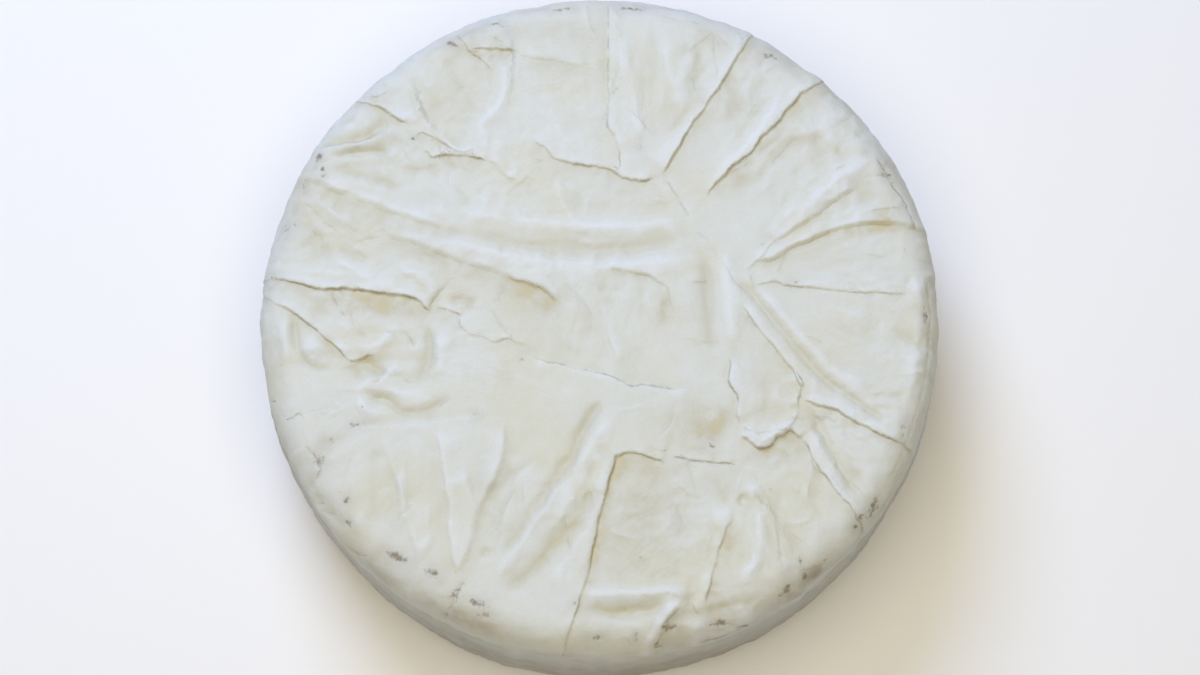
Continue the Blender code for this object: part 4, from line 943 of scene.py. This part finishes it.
# A square grid bent into a disc, x · sqrt(1 - y²/2) and y · sqrt(1 - x²/2), joined to rings that run on down the
# wall and in under the wheel, and closed by a fan at the underside's middle. Returns arcs, angles and faces.
def layOut():
    cells = wheel["cells"]
    axis = np.linspace(-1, 1, cells + 1)
    gridX, gridY = np.meshgrid(axis, axis)
    x = flatTop * gridX * np.sqrt(1 - gridY**2 / 2)
    y = flatTop * gridY * np.sqrt(1 - gridX**2 / 2)
    index = np.arange((cells + 1) ** 2).reshape(cells + 1, cells + 1)
    squares = np.stack([index[:-1, :-1], index[:-1, 1:], index[1:, 1:], index[1:, :-1]], -1).reshape(-1, 4)
    rim = np.concatenate([index[0, :-1], index[:-1, -1], index[-1, :0:-1], index[:0:-1, 0]])
    around = np.arctan2(y.ravel()[rim], x.ravel()[rim])
    sides = np.arange(1, math.ceil((baseFrom - flatTop) / wheel["ringStep"]) + 1)
    sideArcs = flatTop + sides * (baseFrom - flatTop) / sides[-1]
    underShares = (np.arange(wheel["underRings"]) + 1) / (wheel["underRings"] + 0.5)
    arcs = np.concatenate([sideArcs, baseFrom + flatBase * underShares])
    ringArc = np.repeat(arcs, len(rim))
    ringAngle = np.tile(around, len(arcs))
    first = (cells + 1) ** 2
    rings = np.vstack([rim, first + np.arange(len(ringArc)).reshape(len(arcs), len(rim))])
    nextRings = np.roll(rings, -1, axis=1)
    bands = np.stack([rings[:-1], rings[1:], nextRings[1:], nextRings[:-1]], -1).reshape(-1, 4)
    middle = first + len(ringArc)
    fan = np.stack([rings[-1], np.full(len(rim), middle), nextRings[-1]], -1)
    arc = np.concatenate([np.hypot(x, y).ravel(), ringArc, [baseFrom + flatBase]])
    angle = np.concatenate([np.arctan2(y, x).ravel(), ringAngle, [0.0]])
    return arc, angle, [*squares.tolist(), *bands.tolist(), *fan.tolist()]


# The wheel's mesh: the smooth surface moved outwards by the relief, then thinned where it is smooth.
def makeWheel(top, under):
    arc, angle, faces = layOut()
    radius, height, out, up = wheelProfile(arc)
    raised = raiseBy(top, under, arc, angle, height)
    radius, height = radius + raised * out, np.maximum(height + raised * up, 0)
    points = np.stack([radius * np.cos(angle), radius * np.sin(angle), height], axis=1) * mm
    mesh = bpy.data.meshes.new("pressedWheel")
    mesh.from_pydata(points.tolist(), [], faces)
    piece = bpy.data.objects.new("pressedWheel", mesh)
    scene.collection.objects.link(piece)
    corners = sum(len(face) - 2 for face in faces)
    thin = piece.modifiers.new("thin", "DECIMATE")
    thin.ratio = min(1.0, wheel["triangles"] / corners)
    bpy.context.view_layer.update()
    thinned = bpy.data.meshes.new_from_object(piece.evaluated_get(bpy.context.evaluated_depsgraph_get()))
    piece.modifiers.clear()
    piece.data = thinned
    thinned.shade_smooth()
    print("wheel:", corners, "triangles thinned to", sum(len(f.vertices) - 2 for f in thinned.polygons))
    return piece


# How dusty and handled the wheel is, with painted shade that darkens its rounded edge and wall, and how much of the
# cloth's print shows on its wall
grimeAndShade = dict(edge=0.06, wall=0.68, cleanerBelow=0.55, wallThreads=0.5)


# What the material reads at each vertex: the maps' values at the vertex's own place on the cloth laid out flat.
def writeMarks(piece, top, under):
    mesh = piece.data
    points = np.zeros(len(mesh.vertices) * 3)
    mesh.vertices.foreach_get("co", points)
    points = points.reshape(-1, 3) / mm
    angle = np.arctan2(points[:, 1], points[:, 0])
    arc = arcOf(np.hypot(points[:, 0], points[:, 1]), points[:, 2])
    x, y = arc * np.cos(angle), arc * np.sin(angle)
    below = arc > baseFrom - 0.5
    fade = 1 - smoothStep(*marksFade, arc)
    marks = {}
    for name in ("stainAndShade", "line", "lineOffset", "hollow", "mould", "smudge", "threads", "threadTurn"):
        values = readMap(top, name, x, y)
        if name in under:
            values = np.where(below, readMap(under, name, points[:, 0], points[:, 1]), values)
        marks[name] = values
    marks["line"] *= np.where(below, 1, fade)
    marks["stainAndShade"] *= np.where(below, 1, fade)
    edge, wall = smoothStep(*edgeGrimeAndShade, arc), smoothStep(*wallGrimeAndShade, arc)
    marks["grimeAndShade"] = (grimeAndShade["edge"] * edge + grimeAndShade["wall"] * wall) * (1 - grimeAndShade["cleanerBelow"] * below)
    marks["threads"] = np.maximum(marks["threads"], grimeAndShade["wallThreads"] * wall)
    for name, values in marks.items():
        layer = mesh.attributes.new(name, "FLOAT", "POINT")
        layer.data.foreach_set("value", values.astype(np.float32))
    cloth = np.stack([np.where(below, points[:, 0], x), np.where(below, points[:, 1], y), 0 * x], axis=1) * mm
    layer = mesh.attributes.new("cloth", "FLOAT_VECTOR", "POINT")
    layer.data.foreach_set("vector", cloth.astype(np.float32).ravel())


# Adds a node with its settings and inputs; an input is a value, or another node's output to link. Gives back the
# named output, or else the first that is in use.
def addNode(tree, kind, settings, inputs, output=None):
    made = tree.nodes.new("ShaderNode" + kind)
    for name, value in settings.items():
        setattr(made, name, value)
    for socket, source in inputs.items():
        if isinstance(source, bpy.types.NodeSocket):
            tree.links.new(source, made.inputs[socket])
        else:
            made.inputs[socket].default_value = source
    return made.outputs[output] if output else next(o for o in made.outputs if o.enabled)


# Natural rind of a cheese pressed in cloth and left to dry: a matt, dusty off-white skin that lets hardly any
# light in, with brown mould where the cloth gaped. Painted light is mixed into its colour: tan where it lies low
# and before the lips, the crevice lines and the darker wall are partly painted shade, and chalk white on the
# crests is a painted highlight.
rind = dict(
    cream="#dadace",
    butter="#d8d5c0",  # yellowish areas
    chalk="#e5e7e6",  # dusty white patches, and a painted highlight on the crests
    tan="#c9c4ab",  # before the lips and in hollows: partly stains, partly painted shade
    pocket="#cfc3a0",  # the deepest of them, partly painted shade
    grimeAndShade="#999186",  # the wall, handled and dusty, and darkened by painted shade
    smudge="#a99d8c",  # brownish bloom round the mould
    # the crevice lines: dirt and painted shade in the gap
    crevice="#857f6b",
    mould="#857963",
    patch=48.0,  # size of the tone patches
    mottle=9.0,
    lump=4.0,
    speck=2.2,
    grain=1.3,  # the print of single threads
    pucker=2.8,  # puckers along the threads; single threads lie about 1 mm apart, too fine to show from here
    lineWidth=(0.16, 0.5),  # of the crevices, which open and close along their length
    lineShare=0.48,
    roughness=0.6,  # dry and dusty
    gloss=0.25,  # dust takes half of the skin's reflection
    ior=1.44,  # fat and water
    letIn=0.08,  # how much light goes under the skin, and how far it goes in red, green and blue, in mm
    letInReach=(1.0, 0.7, 0.45),
    bumps=dict(grain=0.10, lump=0.14, threads=0.35, crevice=-0.25, mould=-0.12),  # in mm
)


def rindMaterial():
    material = bpy.data.materials.new("natural rind, cloth-pressed")
    material.use_nodes = True
    tree = material.node_tree
    shader = tree.nodes["Principled BSDF"]
    place = addNode(tree, "TexCoord", {}, {}, "Object")
    noise = {}
    for name, detail in (("patch", 2), ("mottle", 4), ("lump", 3), ("speck", 4), ("grain", 3)):
        inputs = {"Vector": place, "Scale": 1000 / rind[name], "Detail": detail, "Roughness": 0.55}
        noise[name] = addNode(tree, "TexNoise", {}, inputs)
    marks = {}
    for name in ("stainAndShade", "line", "lineOffset", "hollow", "mould", "smudge", "grimeAndShade", "threads", "threadTurn"):
        marks[name] = addNode(tree, "Attribute", {"attribute_name": name}, {}, "Fac")

    # shares from 0 to 1 that the colours are blended by: from, to, and the share at each
    shares = {}
    for name, source, low, high, atLow, atHigh in (
        ("butter", noise["patch"], 0.42, 0.68, 0.0, 0.9),
        ("dust", noise["mottle"], 0.45, 0.75, 0.0, 0.25),
        # crest: a painted highlight on the crests; low: tan in the hollows, partly dirt and partly painted shade
        ("crest", marks["hollow"], -0.1, -0.9, 0.0, 0.45),
        ("low", marks["hollow"], 0.1, 0.9, 0.0, 0.4),
        ("uneven", noise["mottle"], 0.35, 0.62, 0.4, 1.0),
        ("worn", noise["patch"], 0.3, 0.7, 0.7, 1.0),
        ("broken", noise["mottle"], 0.38, 0.6, 0.1, 1.0),
        ("lineWidth", noise["lump"], 0.3, 0.68, *rind["lineWidth"]),
        ("blotched", noise["mottle"], 0.25, 0.75, 0.8, 1.1),
        ("edgeOfSpot", marks["mould"], 0.04, 0.3, 0.0, 1.0),
    ):
        inputs = {"Value": source, "From Min": low, "From Max": high, "To Min": atLow, "To Max": atHigh}
        shares[name] = addNode(tree, "MapRange", {"interpolation_type": "SMOOTHSTEP"}, inputs)

    # stains with painted shade, broken up by noise; the strongest of them turn to the pocket colour
    stainAndShade = addNode(tree, "Math", {"operation": "MULTIPLY"}, {0: marks["stainAndShade"], 1: shares["uneven"]})
    deep = addNode(tree, "MapRange", {"interpolation_type": "SMOOTHSTEP"},
                   {"Value": stainAndShade, "From Min": 0.65, "From Max": 1.0, "To Max": 0.7})
    # dust with painted shade on the edge and wall, worn and blotched by noise
    handledAndShaded = addNode(tree, "Math", {"operation": "MULTIPLY"}, {0: marks["grimeAndShade"], 1: shares["worn"]})
    grimeAndShade = addNode(tree, "Math", {"operation": "MULTIPLY"}, {0: handledAndShaded, 1: shares["blotched"]})
    smudge = addNode(tree, "Math", {"operation": "MULTIPLY"}, {0: marks["smudge"], 1: shares["uneven"]})

    # crevice, a dark line of dirt and painted shade in the gap: exp(-(offset/width)²) along the lips, its offset
    # pushed about by noise and its strength broken up
    pushed = addNode(tree, "Math", {"operation": "MULTIPLY_ADD"}, {0: noise["speck"], 1: 0.8, 2: marks["lineOffset"]})
    centred = addNode(tree, "Math", {"operation": "ADD"}, {0: pushed, 1: -0.4})
    scaled = addNode(tree, "Math", {"operation": "DIVIDE"}, {0: centred, 1: shares["lineWidth"]})
    squared = addNode(tree, "Math", {"operation": "MULTIPLY"}, {0: scaled, 1: scaled})
    falling = addNode(tree, "Math", {"operation": "MULTIPLY"}, {0: squared, 1: -1.0})
    spread = addNode(tree, "Math", {"operation": "EXPONENT"}, {0: falling})
    strength = addNode(tree, "Math", {"operation": "MULTIPLY"}, {0: marks["line"], 1: shares["broken"]})
    crevice = addNode(tree, "Math", {"operation": "MULTIPLY"}, {0: strength, 1: spread})
    creviceColour = addNode(tree, "Math", {"operation": "MULTIPLY"}, {0: crevice, 1: rind["lineShare"]})

    # mould: specks of noise, let through where a spot lies
    speckled = addNode(tree, "Math", {"operation": "MULTIPLY_ADD"}, {0: noise["speck"], 1: 1.6, 2: marks["mould"]})
    specks = addNode(tree, "MapRange", {"interpolation_type": "SMOOTHSTEP"},
                     {"Value": speckled, "From Min": 1.15, "From Max": 1.7, "To Max": 0.8})
    mould = addNode(tree, "Math", {"operation": "MULTIPLY"}, {0: specks, 1: shares["edgeOfSpot"]})

    colour = (*linear(rind["cream"]), 1)
    # the tan in hollows and before the lips, the pocket, the grime and the crevice are partly painted shade, and the
    # chalk on the crests is a painted highlight
    for name, share in (("butter", shares["butter"]), ("chalk", shares["dust"]), ("chalk", shares["crest"]),
                        ("tan", shares["low"]), ("tan", stainAndShade), ("pocket", deep), ("grimeAndShade", grimeAndShade),
                        ("smudge", smudge), ("crevice", creviceColour), ("mould", mould)):
        colour = addNode(tree, "Mix", {"data_type": "RGBA"}, {0: share, 6: colour, 7: (*linear(rind[name]), 1)})
    shade = addNode(tree, "MapRange", {}, {"Value": noise["grain"], "From Min": 0.2, "From Max": 0.8,
                                           "To Min": 0.975, "To Max": 1.02})
    colour = addNode(tree, "HueSaturation", {}, {"Value": shade, "Color": colour})
    tree.links.new(colour, shader.inputs["Base Color"])

    # relief finer than the mesh: grain, lumps, bunched threads, crevices and the pits of the mould
    cloth = addNode(tree, "Attribute", {"attribute_name": "cloth"}, {}, "Vector")
    turned = addNode(tree, "VectorRotate", {"rotation_type": "Z_AXIS"},
                     {"Vector": cloth, "Angle": marks["threadTurn"]})
    drawnOut = addNode(tree, "VectorMath", {"operation": "MULTIPLY"}, {0: turned, 1: (0.22, 1, 1)})
    puckers = addNode(tree, "TexNoise", {}, {"Vector": drawnOut, "Scale": 1000 / rind["pucker"], "Detail": 3.0,
                                             "Roughness": 0.6})
    threads = addNode(tree, "Math", {"operation": "MULTIPLY"}, {0: puckers, 1: marks["threads"]})
    height = 0.0
    sources = dict(grain=noise["grain"], lump=noise["lump"], threads=threads, crevice=crevice, mould=mould)
    for name, size in rind["bumps"].items():
        height = addNode(tree, "Math", {"operation": "MULTIPLY_ADD"}, {0: sources[name], 1: size, 2: height})
    bump = addNode(tree, "Bump", {}, {"Height": height, "Strength": 1.0, "Distance": mm})
    tree.links.new(bump, shader.inputs["Normal"])

    shader.inputs["Roughness"].default_value = rind["roughness"]
    shader.inputs["IOR"].default_value = rind["ior"]
    shader.inputs["Specular IOR Level"].default_value = rind["gloss"]
    shader.inputs["Subsurface Weight"].default_value = rind["letIn"]
    shader.inputs["Subsurface Radius"].default_value = rind["letInReach"]
    shader.inputs["Subsurface Scale"].default_value = mm
    return material


floorSetting = dict(size=6.0, colour="#faf7f0", drop=0.2)


# A flat square under the wheel, dropped a hair below the underside.
def makeFloor():
    half, z = floorSetting["size"] / 2, -floorSetting["drop"] * mm
    mesh = bpy.data.meshes.new("floor")
    mesh.from_pydata([(-half, -half, z), (half, -half, z), (half, half, z), (-half, half, z)], [], [(0, 1, 2, 3)])
    floor = bpy.data.objects.new("floor", mesh)
    scene.collection.objects.link(floor)
    material = bpy.data.materials.new("matt white paper")
    material.use_nodes = True
    shader = material.node_tree.nodes["Principled BSDF"]
    shader.inputs["Base Color"].default_value = (*linear(floorSetting["colour"]), 1)
    shader.inputs["Roughness"].default_value = 0.9
    shader.inputs["Specular IOR Level"].default_value = 0.0
    mesh.materials.append(material)


makeCamera()
makeLights()
makeFloor()
print("camera, lights and floor are in place")

topMaps = drawMaps(topFolds + fanFolds() + strayFolds(), baseFrom + 4, 100)
ground = topMaps["height"].copy()
for fold in wallFolds():
    addFold(topMaps, fold)
addHoops(topMaps)
addUnevenness(topMaps, 200)
addWrinkles(topMaps, 600)
topMaps["uneven"] = topMaps["height"] - ground
addMarks(topMaps)
addHollows(topMaps)
lowMaps = underMaps()
print("folds drawn:", len(topFolds), "on the top,", underFolds["count"], "underneath")

cheese = makeWheel(topMaps, lowMaps)
writeMarks(cheese, topMaps, lowMaps)
cheese.data.materials.clear()
cheese.data.materials.append(rindMaterial())
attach(cheese, "root")
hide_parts("cheese_wheel")
print("rind finished")
